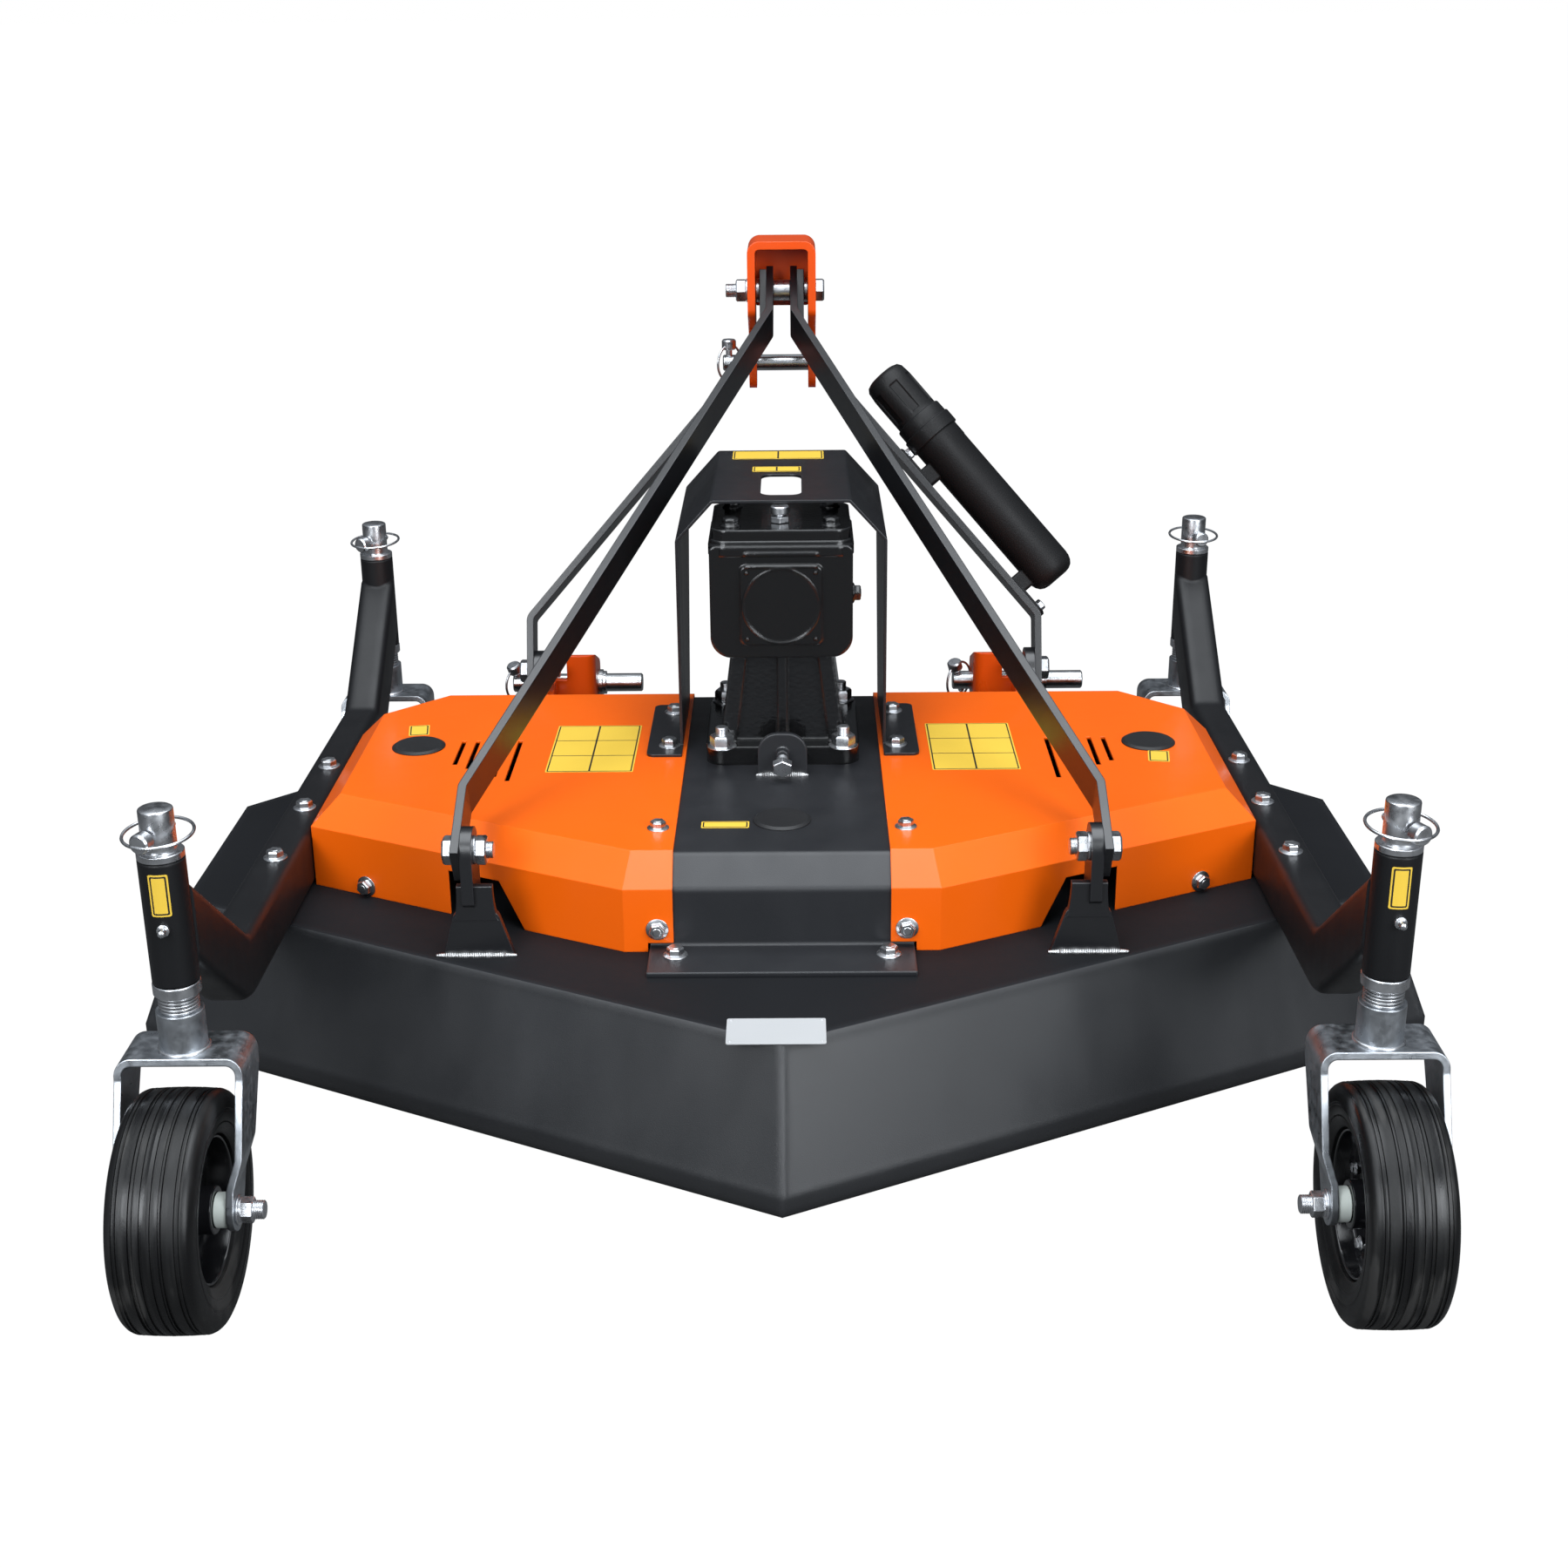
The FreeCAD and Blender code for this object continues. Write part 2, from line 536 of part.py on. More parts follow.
cover = cover_solid(0, D["deck_top"]).cut(cover_solid(D["cover_sheet"], D["deck_top"] - 1))
slots = []
for count in range(5):
    long = D["slot_length"] - count * D["slot_step"]
    x = D["slot_x"] + count * D["slot_pitch"] - D["slot_width"] / 2
    corner = Vector(x, D["slot_front"] - long, D["cover_top"] - 10)
    slots.append(Part.makeBox(D["slot_width"], long, 20, corner))
lift = Part.makeBox(D["bridge_half"] - D["cover_inner"] + 3, D["cover_bevel"],
                    D["bridge_sheet"] + D["bridge_bend"] + D["cover_lift"],
                    Vector(D["cover_inner"] - 1, D["cover_rear"] - 3, D["deck_top"]))
# A notch in the rear wall lets the rear lug's eye plate through
notch = plate([(D["lug_x"] - 42, D["deck_top"]), (D["lug_x"] + 34, D["deck_top"]), (D["lug_x"] + 34, 236),
               (D["lug_x"] - 18, 236)], "XZ", D["cover_rear"], D["cover_back"])
cover = cover.cut(slots + [lift, notch])
left_cover = cover.mirror(Vector(0, 0, 0), Vector(1, 0, 0))
node(made("cover_right", cover), "belt_cover_right")
node(made("cover_left", left_cover), "belt_cover_left")

# Spindle caps: round press-in caps above the three blade spindles
caps = []
for name, x, y, level in (("left", "-spindle_x", "spindle_y", "cover_top"),
                          ("right", "spindle_x", "spindle_y", "cover_top"),
                          ("centre", "0", "spindle_rear_y", "cover_top - cover_sheet")):
    caps.append(turned("cap_" + name, [("0", "0"), ("cap_radius", "0"), ("cap_radius", "cap_height / 3"),
                                       ("cap_radius - 3", "cap_height"), ("0", "cap_height")],
                       x=x, y="rear_post_y + " + y, z=level))
node(fuse("caps", caps), "spindle_caps")

# Gearbox: cast case on a ribbed pedestal, with a square boss behind and the bearing snout in front
gy = D["gearbox_y"]
flange_top = BRIDGE_TOP + D["flange_plate"]
flange = plate(rectangle(0, gy, D["flange_half_x"], D["flange_half_y"]), "XY", BRIDGE_TOP, flange_top, [18] * 4)
foot_x, foot_y = D["pedestal_bottom"], D["pedestal_bottom"]
head_x, head_y = D["pedestal_top"], D["case_front"] - 4
pedestal = tower([(flange_top, rectangle(0, gy, foot_x, foot_y)),
                  (D["case_bottom"], rectangle(0, gy, head_x, head_y))])
# Flutes on the pedestal's rear and front leave a rib in the middle and one at each corner
flutes = []
for way in (-1, 1):
    for side in (-1, 1):
        levels = []
        for level, half_x, half_y in ((flange_top, foot_x, foot_y), (D["case_bottom"], head_x, head_y)):
            near, far = sorted((side * D["rib_half"], side * (half_x - D["rib_corner"])))
            back, front = sorted((gy + way * (half_y - D["flute_depth"]), gy + way * (half_y + 1)))
            middle = ((near + far) / 2, (back + front) / 2)
            levels.append((level, rectangle(*middle, (far - near) / 2, (front - back) / 2)))
        flutes.append(tower(levels))
pedestal = pedestal.cut(flutes)
case = plate([(-D["case_half_x"], D["case_bottom"]), (D["case_half_x"], D["case_bottom"]),
              (D["case_half_x"], D["case_top"]), (-D["case_half_x"], D["case_top"])],
             "XZ", gy - D["case_rear"], gy + D["case_front"], [D["case_round"]] * 2 + [6, 6])
boss = plate(rectangle(0, D["shaft_level"], D["boss_half"], D["boss_half"]), "XZ",
             gy - D["case_rear"] - D["boss_depth"], gy - D["case_rear"], [6] * 4)
snout = drum((0, D["shaft_level"]), D["snout_radius"], "XZ", gy + D["case_front"],
             gy + D["case_front"] + D["snout_length"])
bore = drum((0, D["shaft_level"]), D["journal_radius"] + D["pivot_clearance"], "XZ", gy,
            gy + D["case_front"] + D["snout_length"] + 1)
gearbox = flange.fuse([pedestal, case, boss, snout]).cut(bore).removeSplitter()
node(made("gearbox", gearbox), "gearbox_housing")

lid_y = gy + (D["case_front"] - D["case_rear"]) / 2
lid = plate(rectangle(0, lid_y, D["case_half_x"] - 2, (D["case_front"] + D["case_rear"]) / 2 - 2), "XY",
            D["case_top"], D["case_top"] + D["lid_height"], [16] * 4)
node(made("lid", lid), "gearbox_cover")

snout_end = "case_front + snout_length"
shaft = turned("shaft", [
    ("0", "gap"), ("journal_radius", "gap"), ("journal_radius", snout_end), ("shaft_radius", snout_end),
    ("shaft_radius", snout_end + " + shaft_length - 2"), ("shaft_radius - 2", snout_end + " + shaft_length"),
    ("0", snout_end + " + shaft_length"),
], Rotation(Vector(1, 0, 0), -90), y="rear_post_y + gearbox_y", z="shaft_level")
node(shaft, "input_shaft")

# Shaft shield: a chamfered hood of sheet over the input shaft, on two bolted feet
half_shield = D["shield_sheet"] / 2
leg_x, hood_z = D["shield_half"] - half_shield, D["shield_top"] - half_shield
hood = strip([(-leg_x, D["cover_top"]), (-leg_x, hood_z - D["shield_drop"]), (-D["shield_flat"], hood_z),
              (D["shield_flat"], hood_z), (leg_x, hood_z - D["shield_drop"]), (leg_x, D["cover_top"])],
             D["shield_sheet"], 2, "XZ", D["shield_rear"], D["shield_rear"] + D["shield_length"])
shield_end = D["shield_rear"] + D["shield_length"]
side_form = plate([(D["shield_rear"] - 1, D["cover_top"]), (shield_end - 85, D["cover_top"]),
                   (shield_end, D["shield_top"] - D["shield_drop"]), (shield_end, D["shield_top"] + 1),
                   (D["shield_rear"] - 1, D["shield_top"] + 1)], "YZ", -leg_x - 5, leg_x + 5)
window = plate(rectangle(0, D["shield_rear"] + 72, D["window_half"], 48), "XY", D["shield_top"] - 20,
               D["shield_top"] + 5, [12] * 4)
feet = []
foot_x = D["shield_half"] + (D["shield_foot"] - D["shield_sheet"]) / 2
foot_half = (D["shield_foot"] + D["shield_sheet"]) / 2
foot_y = D["shield_rear"] - 30 + (D["shield_length"] - 80) / 2
for side, corners in ((-1, [8, 2, 2, 8]), (1, [2, 8, 8, 2])):
    feet.append(plate(rectangle(side * foot_x, foot_y, foot_half, (D["shield_length"] - 80) / 2), "XY",
                      D["cover_top"], D["cover_top"] + D["shield_sheet"], corners))
shield = hood.common(side_form).cut(window).fuse(feet).removeSplitter()
node(made("shield", shield), "pto_shield")

# Wheel arms: box section over the deck, bent up at both ends to the caster post tubes
slope = math.radians(D["arm_slope"])
arm_level = D["deck_top"] + D["arm_height"] / 2
bend_y = D["arm_corner"] - D["arm_height"] / 2 * math.tan(slope / 2)
end_level = arm_level + bend_y * math.tan(slope)
over = D["arm_width"]
arm_line = [(-over, end_level + over * math.tan(slope)), (bend_y, arm_level),
            (D["wheelbase"] - bend_y, arm_level), (D["wheelbase"] + over, end_level + over * math.tan(slope))]
POST_TOP = D["post_bottom"] + D["post_height"]
bore_radius = D["pivot_radius"] + D["pivot_clearance"]
for name, side in (("left", -1), ("right", 1)):
    middle = side * D["post_x"]
    beam = strip(arm_line, D["arm_height"], D["arm_bend"], "YZ", middle - D["arm_width"] / 2,
                 middle + D["arm_width"] / 2)
    between = Part.makeBox(2 * D["arm_width"], D["wheelbase"] - 2 * D["arm_end"], 3 * D["deck_top"],
                           Vector(middle - D["arm_width"], D["arm_end"], 0))
    posts, bores = [], []
    under = D["post_bottom"] - D["fork_top"]
    for y in (0, D["wheelbase"]):
        foot = Vector(middle, y, D["post_bottom"])
        below = foot - Vector(0, 0, under)
        beam = beam.cut(Part.makeCylinder(D["collar_radius"] + D["arm_clear"], under, below))
        posts.append(Part.makeCylinder(D["post_radius"], D["post_height"], foot))
        bores.append(Part.makeCylinder(bore_radius, D["post_height"] + 2, foot - Vector(0, 0, 1)))
    arm = beam.common(between).fuse(posts).cut(bores).removeSplitter()
    node(made("arm_" + name, arm), "wheel_arm_" + name)

# Rear lugs: an eye plate on a flared foot plate welded to the deck
for name, side in (("left", -1), ("right", 1)):
    middle = side * D["lug_x"]
    low, high = middle - D["lug_plate"] / 2, middle + D["lug_plate"] / 2
    eye = (D["lug_eye_y"], D["lug_eye_level"])
    rear = D["lug_foot_y"]
    foot_top = D["deck_top"] + D["lug_foot_height"]
    ear = plate([(rear, D["deck_top"]), (rear + D["lug_length"], D["deck_top"]),
                 (eye[0] + D["lug_eye_radius"], D["deck_top"] + D["lug_neck"]),
                 (eye[0] + D["lug_eye_radius"], eye[1]), (eye[0] - D["lug_eye_radius"], eye[1]),
                 (rear - D["lug_step"], foot_top + D["lug_foot_plate"]), (rear, foot_top)], "YZ", low, high)
    ear = ear.fuse(drum(eye, D["lug_eye_radius"], "YZ", low, high))
    ear = ear.cut(drum(eye, D["strut_hole"], "YZ", low - 1, high + 1))
    # The foot plate reaches further inwards than outwards; across[0] is its left end
    across = sorted((side * share * D["lug_foot_half"], side * narrow * D["lug_foot_neck"])
                    for share, narrow in ((-1.2, -0.64), (0.8, 0.36)))
    foot = plate([(middle + across[0][0], D["deck_top"]), (middle + across[1][0], D["deck_top"]),
                  (middle + across[1][1], foot_top), (middle + across[0][1], foot_top)],
                 "XZ", rear - D["lug_foot_plate"] / 2, rear + D["lug_foot_plate"] / 2, [0, 0, 10, 10])
    node(made("lug_rear_" + name, ear.fuse(foot).removeSplitter()), "rear_lug_" + name)

# Front lugs: plates welded to the deck's front, for the front struts and the lower hitch links
for name, side in (("left", -1), ("right", 1)):
    middle = side * D["front_lug_x"]
    low, high = middle - D["lug_plate"] / 2, middle + D["lug_plate"] / 2
    eye, pivot = (D["front_eye_y"], D["front_eye_level"]), (D["hitch_pivot_y"], D["hitch_pivot_level"])
    front = D["deck_front"]
    around_eye, around_pivot = D["front_eye_radius"], D["hitch_eye_radius"]
    ear = plate([(front - D["front_lug_back"], D["deck_top"]), (front - 2, D["deck_top"]),
                 (pivot[0], pivot[1] - around_pivot), (pivot[0] + around_pivot, pivot[1]),
                 (eye[0] + around_eye, eye[1]), (eye[0], eye[1] + around_eye),
                 (front - D["front_lug_back"], D["deck_top"] + D["lug_neck"])], "YZ", low, high)
    ear = ear.fuse([drum(eye, around_eye, "YZ", low, high), drum(pivot, around_pivot, "YZ", low, high)])
    ear = ear.cut([drum(eye, D["strut_hole"], "YZ", low - 1, high + 1),
                   drum(pivot, D["mast_bolt"] + D["pivot_clearance"], "YZ", low - 1, high + 1)])
    node(made("lug_front_" + name, ear.removeSplitter()), "front_lug_" + name)


# Struts of the A-frame: flat bars bent twice, from the lugs up to the top pivot
def strut(name, foot_y, foot_z, foot_x, head_x, side):
    """Flat bar from a lug's eye to the top pivot; foot_x and head_x are its middles across."""
    foot = (measure(foot_y), measure(foot_z))
    head = (D["mast_y"], D["mast_level"])
    run = math.hypot(head[0] - foot[0], head[1] - foot[1])
    rise = math.degrees(math.atan2(head[1] - foot[1], head[0] - foot[0]))
    foot_x, head_x = -side * foot_x, -side * head_x
    line = [(-D["strut_end"], foot_x), (D["strut_tail"], foot_x), (run - D["strut_tail"], head_x),
            (run + D["strut_end"], head_x)]
    # Local X runs along the bar and local Y across the machine
    bar = strip(line, D["strut_plate"], D["strut_bend"], "XY", -D["strut_width"] / 2, D["strut_width"] / 2)
    holes = [Part.makeCylinder(D["strut_hole"], 80, Vector(along, x - 40, 0), Vector(0, 1, 0))
             for along, x in ((0, foot_x), (run, head_x))]
    piece = doc.addObject("Part::Feature", name)
    piece.Shape = bar.cut(holes)
    piece.Placement.Rotation = Rotation(Vector(0, 0, 1), 90).multiply(Rotation(Vector(0, 1, 0), -rise))
    return bind(piece, y="rear_post_y + " + foot_y, z=foot_z)


inner_head = (D["mast_gap"] + D["strut_plate"]) / 2
outer_head = inner_head + D["strut_plate"]
rear_foot_x = D["lug_x"] + (D["lug_plate"] + D["strut_plate"]) / 2
front_foot_x = D["front_lug_x"] + (D["lug_plate"] + D["strut_plate"]) / 2
for name, side in (("left", -1), ("right", 1)):
    for place, eye_y, eye_level, foot_x, head_x in (
        ("rear_", "lug_eye_y", "lug_eye_level", rear_foot_x, inner_head),
        ("front_", "front_eye_y", "front_eye_level", front_foot_x, outer_head),
    ):
        node(strut("bar_" + place + name, eye_y, eye_level, foot_x, head_x, side), "strut_" + place + name)

# Top pivot: a long bolt through the four strut heads, a spacer tube and washers
ACROSS = Rotation(Vector(0, 1, 0), 90)
PIVOT = {"y": "rear_post_y + mast_y", "z": "mast_level"}
nut_side = "bracket_half + gap + mast_nut"
pivot_parts = [
    rod("mast_shank", "mast_bolt", nut_side + " + 2 * bolt_end + bracket_half + gap + bolt_head", ACROSS,
        x="-(" + nut_side + " + 2 * bolt_end)", **PIVOT),
    rod("mast_spacer", "mast_tube", "mast_gap", ACROSS, x="-mast_gap / 2", **PIVOT),
]
for name, x in (("left", "-(bracket_half - bracket_plate - gap)"),
                ("right", "mast_gap / 2 + 2 * strut_plate")):
    pivot_parts.append(rod("mast_washer_" + name, "mast_washer",
                           "bracket_half - bracket_plate - gap - mast_gap / 2 - 2 * strut_plate", ACROSS,
                           x=x, **PIVOT))


def hex_end(name, length, **place):
    """Hexagon head or nut lying across the machine."""
    piece = doc.addObject("Part::Prism", name)
    piece.Polygon = 6
    piece.Placement.Rotation = ACROSS
    return bind(piece, Circumradius="bolt_flats / sqrt(3)", Height=length, **place)


pivot_parts.append(hex_end("mast_head", "bolt_head", x="bracket_half + gap", **PIVOT))
pivot_parts.append(hex_end("mast_nut", "mast_nut", x="-(" + nut_side + ")", **PIVOT))
node(fuse("mast_bolt_set", pivot_parts), "top_pivot_bolt")

# Bolts that hold the struts' feet to the lugs
foot_bolts = []
for name, side in (("left", -1), ("right", 1)):
    for place, lug, y, z in (("rear", "lug_x", "lug_eye_y", "lug_eye_level"),
                             ("front", "front_lug_x", "front_eye_y", "front_eye_level")):
        tag = place + "_" + name
        y = "rear_post_y + " + y
        inner, outer = "%s - lug_plate / 2" % lug, "%s + lug_plate / 2 + strut_plate" % lug
        if side > 0:
            low, head, nut = inner + " - bolt_nut - bolt_end", outer, inner + " - bolt_nut"
        else:
            low = head = "-(%s + bolt_head)" % outer
            nut = "-(%s)" % inner
        foot_bolts.append(rod("foot_shank_" + tag, "strut_hole - pivot_clearance",
                              "lug_plate + strut_plate + bolt_head + bolt_nut + bolt_end", ACROSS,
                              x=low, y=y, z=z))
        foot_bolts.append(hex_end("foot_head_" + tag, "bolt_head", x=head, y=y, z=z))
        foot_bolts.append(hex_end("foot_nut_" + tag, "bolt_nut", x=nut, y=y, z=z))
node(fuse("foot_bolts", foot_bolts), "strut_bolts")

# Top link bracket: an inverted U of thick plate, swinging on the top pivot
half = D["bracket_half"] - D["bracket_plate"] / 2
crown = D["bracket_top"] - D["bracket_plate"] / 2
hoop = strip([(-half, D["bracket_bottom"]), (-half, crown), (half, crown), (half, D["bracket_bottom"])],
             D["bracket_plate"], 5, "XZ", D["mast_y"] - D["bracket_depth"], D["mast_y"] + D["bracket_depth"])
rear_edge, front_edge = D["mast_y"] - D["bracket_depth"] / 2, D["mast_y"] + D["bracket_depth"] / 2
toe_rear, toe_front = D["link_pin_y"] - 17, D["link_pin_y"] + 19
wide = D["bracket_half"] + 1
bracket_form = plate([
    (toe_rear, D["bracket_bottom"] - 1), (toe_front, D["bracket_bottom"] - 1),
    (front_edge + 4, D["mast_level"] - 40), (front_edge, D["bracket_top"] + 1),
    (rear_edge, D["bracket_top"] + 1), (rear_edge, D["mast_level"] - 24), (toe_rear, D["mast_level"] - 50),
], "YZ", -wide, wide, [14, 14, 40, 0, 0, 10, 10])
holes = [drum((D[y], D[level]), D[radius] + D["pivot_clearance"], "YZ", -wide, wide)
         for y, level, radius in (("mast_y", "mast_level", "mast_bolt"),
                                  ("link_pin_y", "link_pin_level", "link_pin_radius"))]
bracket = hoop.common(bracket_form).cut(holes).removeSplitter()
node(made("bracket", bracket), "top_link_bracket")
link_pin = turned("link_pin", [
    ("0", "-bracket_half - 32"), ("link_pin_radius - 1.5", "-bracket_half - 32"),
    ("link_pin_radius", "-bracket_half - 30.5"),
    ("link_pin_radius", "bracket_half"), ("link_pin_radius + 5", "bracket_half"),
    ("link_pin_radius + 5", "bracket_half + 5"), ("0", "bracket_half + 5"),
], ACROSS, y="rear_post_y + link_pin_y", z="link_pin_level")
node(link_pin, "top_link_pin")

# Lower hitch links: folded plates that float on the front lugs and carry the hitch pins
for name, side in (("left", -1), ("right", 1)):
    half = D["hitch_plate"] / 2
    near_lug = D["front_lug_x"] - D["lug_plate"] / 2 - D["hitch_side_gap"]
    middle_wall, inner_wall = near_lug - half, near_lug - D["hitch_width"] + half
    ear_wall = D["front_lug_x"] + D["lug_plate"] / 2 + D["hitch_ear_gap"] + half
    pivot, pin = (D["hitch_pivot_y"], D["hitch_pivot_level"]), (D["hitch_pin_y"], D["hitch_pin_level"])
    web, nose = pivot[0] + 21, D["hitch_nose"] - half
    fold = [(inner_wall, nose + half), (inner_wall, web), (middle_wall, web), (middle_wall, nose),
            (ear_wall, nose), (ear_wall, pin[0] - 19)]
    lower, upper = pivot[1] - D["hitch_under"], pivot[1] + D["hitch_over"]
    channel = strip([(side * x, y) for x, y in fold], D["hitch_plate"], 4, "XY", lower, upper)
    tip = D["hitch_nose"] + 1
    side_shape = plate([(pivot[0] + 12, lower), (tip, pin[1] - 18), (tip, pin[1] + 20), (pivot[0] + 24, upper),
                        (pivot[0] + 12, upper)], "YZ", -D["post_x"], D["post_x"], [0, 14, 16, 12, 0])
    # The outer ear is low, so that it passes under the strut's foot
    ear_low, ear_high = sorted((side * (ear_wall - half - 1), side * (ear_wall + half + 1)))
    spare = Part.makeBox(ear_high - ear_low, 90, 60, Vector(ear_low, pivot[0] + 10, pin[1] + 16))
    # The upper corner beside the lug is cut back, so that the raised link passes the strut bolt's nut
    nut_low, nut_high = sorted((side * (near_lug - 22), side * (near_lug + 1)))
    relief = Part.makeBox(nut_high - nut_low, 27, 60, Vector(nut_low, pivot[0], pivot[1] + 26))
    low = min(side * near_lug, side * (near_lug - D["hitch_plate"]))
    hanger = capsule(pivot, (pivot[0] + 20, pivot[1] + 4), 22, "YZ", low, low + D["hitch_plate"])
    holes = [drum(pivot, D["mast_bolt"] + D["pivot_clearance"], "YZ", -D["post_x"], D["post_x"]),
             drum(pin, D["hitch_pin_radius"] + D["pivot_clearance"], "YZ", -D["post_x"], D["post_x"])]
    link = channel.common(side_shape).cut([spare, relief]).fuse(hanger).cut(holes).removeSplitter()
    node(made("link_" + name, link), "hitch_link_" + name)
    # Both pins point to the right, as the machine is delivered
    seat = "front_lug_x + lug_plate / 2 + hitch_ear_gap + hitch_plate" if side > 0 else \
        "-(front_lug_x - lug_plate / 2 - hitch_side_gap - hitch_width)"
    body_end = "hitch_pin_length - hitch_pin_free - hitch_collar - hitch_shoulder"
    collar_start = "hitch_pin_length - hitch_pin_free - hitch_collar"
    collar_end = "hitch_pin_length - hitch_pin_free"
    hitch_pin = turned("hitch_pin_" + name, [
        ("0", "0"), ("hitch_pin_radius - 1.5", "0"), ("hitch_pin_radius", "1.5"),
        ("hitch_pin_radius", body_end),
        ("hitch_pin_radius + 5", body_end), ("hitch_pin_radius + 5", collar_start),
        ("hitch_pin_radius + 3", collar_start), ("hitch_pin_radius + 3", collar_end),
        ("hitch_pin_radius", collar_end), ("hitch_pin_radius", "hitch_pin_length - 1.5"),
        ("hitch_pin_radius - 1.5", "hitch_pin_length"), ("0", "hitch_pin_length"),
    ], ACROSS, x=seat + " - (" + body_end + ")", y="rear_post_y + hitch_pin_y", z="hitch_pin_level")
    node(hitch_pin, "hitch_pin_" + name)
    low = "front_lug_x - lug_plate / 2 - hitch_side_gap - hitch_plate - 10" if side > 0 else \
        "-(front_lug_x + lug_plate / 2 + 9)"
    pivot_pin = rod("hitch_pivot_" + name, "mast_bolt", "lug_plate + hitch_side_gap + hitch_plate + 19", ACROSS,
                    x=low, y="rear_post_y + hitch_pivot_y", z="hitch_pivot_level")
    node(pivot_pin, "hitch_pivot_" + name)

# Manual tube: a plastic canister on the right front strut
head = Vector(outer_head, D["mast_y"], D["mast_level"])
foot = Vector(front_foot_x, D["front_eye_y"], D["front_eye_level"])
along = Vector(0, head.y - foot.y, head.z - foot.z)
run = along.Length
along.normalize()
knee = foot + along * D["strut_tail"]
brow = Vector(head.x, foot.y, foot.z) + along * (run - D["strut_tail"])
lean = brow - knee
lean.normalize()
across = Vector(1, 0, 0)
normal = (across - lean * across.dot(lean)).normalize()
middle = (knee + brow) * 0.5 - lean * D["tube_shift"]
off = normal * (D["strut_plate"] / 2 + D["tube_tab"] + D["tube_radius"])
total = D["tube_length"] + D["tube_cap_length"]
base = middle + off - lean * (total / 2)
canister = Part.makeCylinder(D["tube_radius"], D["tube_length"], base, lean)
tabs = []
reach = -D["tube_tab"] - D["tube_radius"]
# Each foot has a web to the tube and an ear along the strut for its bolt
for share, ear_start in ((0.08, -D["tube_ear"]), (0.6, 0)):
    web = Part.makeBox(D["tube_tab"] + D["tube_radius"] * 0.6, 24, 22, Vector(reach, -12, -11))
    ear = Part.makeBox(4, 24, D["tube_ear"], Vector(reach, -12, ear_start))
    for block in (web, ear):
        turn = Rotation(normal, lean.cross(normal), lean, "ZXY")
        block.Placement = Placement(base + lean * (total * share), turn)
        tabs.append(block)
tube = canister.fuse(tabs).removeSplitter()
node(made("tube", tube), "manual_tube")
cap_base = base + lean * D["tube_length"]
ring = Part.makeCylinder(D["tube_cap_radius"], D["tube_cap_length"] * 0.32, cap_base, lean)
grip = Part.makeCylinder(D["tube_cap_radius"] - 5, D["tube_cap_length"] * 0.68,
                         cap_base + lean * (D["tube_cap_length"] * 0.32), lean)
node(made("tube_cap", ring.fuse(grip).removeSplitter()), "manual_tube_cap")

# Belt tensioner: a tab welded to the bridge with its adjusting bolt
tab_y = D["gearbox_y"] - D["flange_half_y"] - 26
tab = plate(rectangle(0, BRIDGE_TOP + 22, 25, 22), "XZ", tab_y - 3, tab_y + 3, [0, 0, 20, 20])
screw = drum((0, BRIDGE_TOP + 24), 6, "XZ", tab_y - 14, tab_y + 24)
node(made("tensioner", tab.fuse(screw).removeSplitter()), "belt_tensioner")

# Blade spindles: flanged housings under the deck, each with a shaft and a blade that turns in it
housings = []
for name, x, y in (("left", "-spindle_x", "spindle_y"), ("right", "spindle_x", "spindle_y"),
                   ("centre", "0", "spindle_rear_y")):
    housings.append(turned("housing_" + name, [
        ("spindle_radius + pivot_clearance", "0"), ("housing_radius - 8", "0"),
        ("housing_radius", "housing_height - 20"),
        ("housing_radius", "housing_height - 8"), ("housing_flange", "housing_height - 8"),
        ("housing_flange", "housing_height"), ("spindle_radius + pivot_clearance", "housing_height"),
    ], x=x, y="rear_post_y + " + y, z="deck_top - deck_sheet - housing_height"))
    px, py = measure(x), measure(y)
    foot_z = D["blade_level"]
    reach = D["blade_tip"]
    bar = Part.makeBox(2 * reach, D["blade_width"], D["blade_plate"],
                       Vector(px - reach, py - D["blade_width"] / 2, foot_z))
    wings = []
    for side in (-1, 1):
        edge = py - side * D["blade_width"] / 2
        tip_z = foot_z + D["blade_lift"]
        wing = plate([(edge, foot_z), (edge + side * 10, foot_z), (edge + side * 10, foot_z + D["blade_plate"]),
                      (edge - side * 8, tip_z + D["blade_plate"]), (edge - side * 8, tip_z)],
                     "YZ", *sorted((px + side * reach, px + side * (reach - D["blade_wing"]))))
        wings.append(wing)
    disc = Part.makeCylinder(reach, 80, Vector(px, py, foot_z - 1))
    blade = bar.fuse(wings).common(disc)
    hub_top = D["deck_top"] - D["deck_sheet"] - D["housing_height"] - D["gap"]
    blade_top = foot_z + D["blade_plate"]
    hub = Part.makeCylinder(26, hub_top - blade_top, Vector(px, py, blade_top))
    stem = Part.makeCylinder(D["spindle_radius"], D["housing_height"] - 2, Vector(px, py, hub_top))
    nut = Part.makeCylinder(14, 12, Vector(px, py, foot_z - 12))
    node(made("blade_" + name, blade.fuse([hub, stem, nut]).removeSplitter()), "blade_" + name)
node(fuse("housings", housings), "spindle_housings")

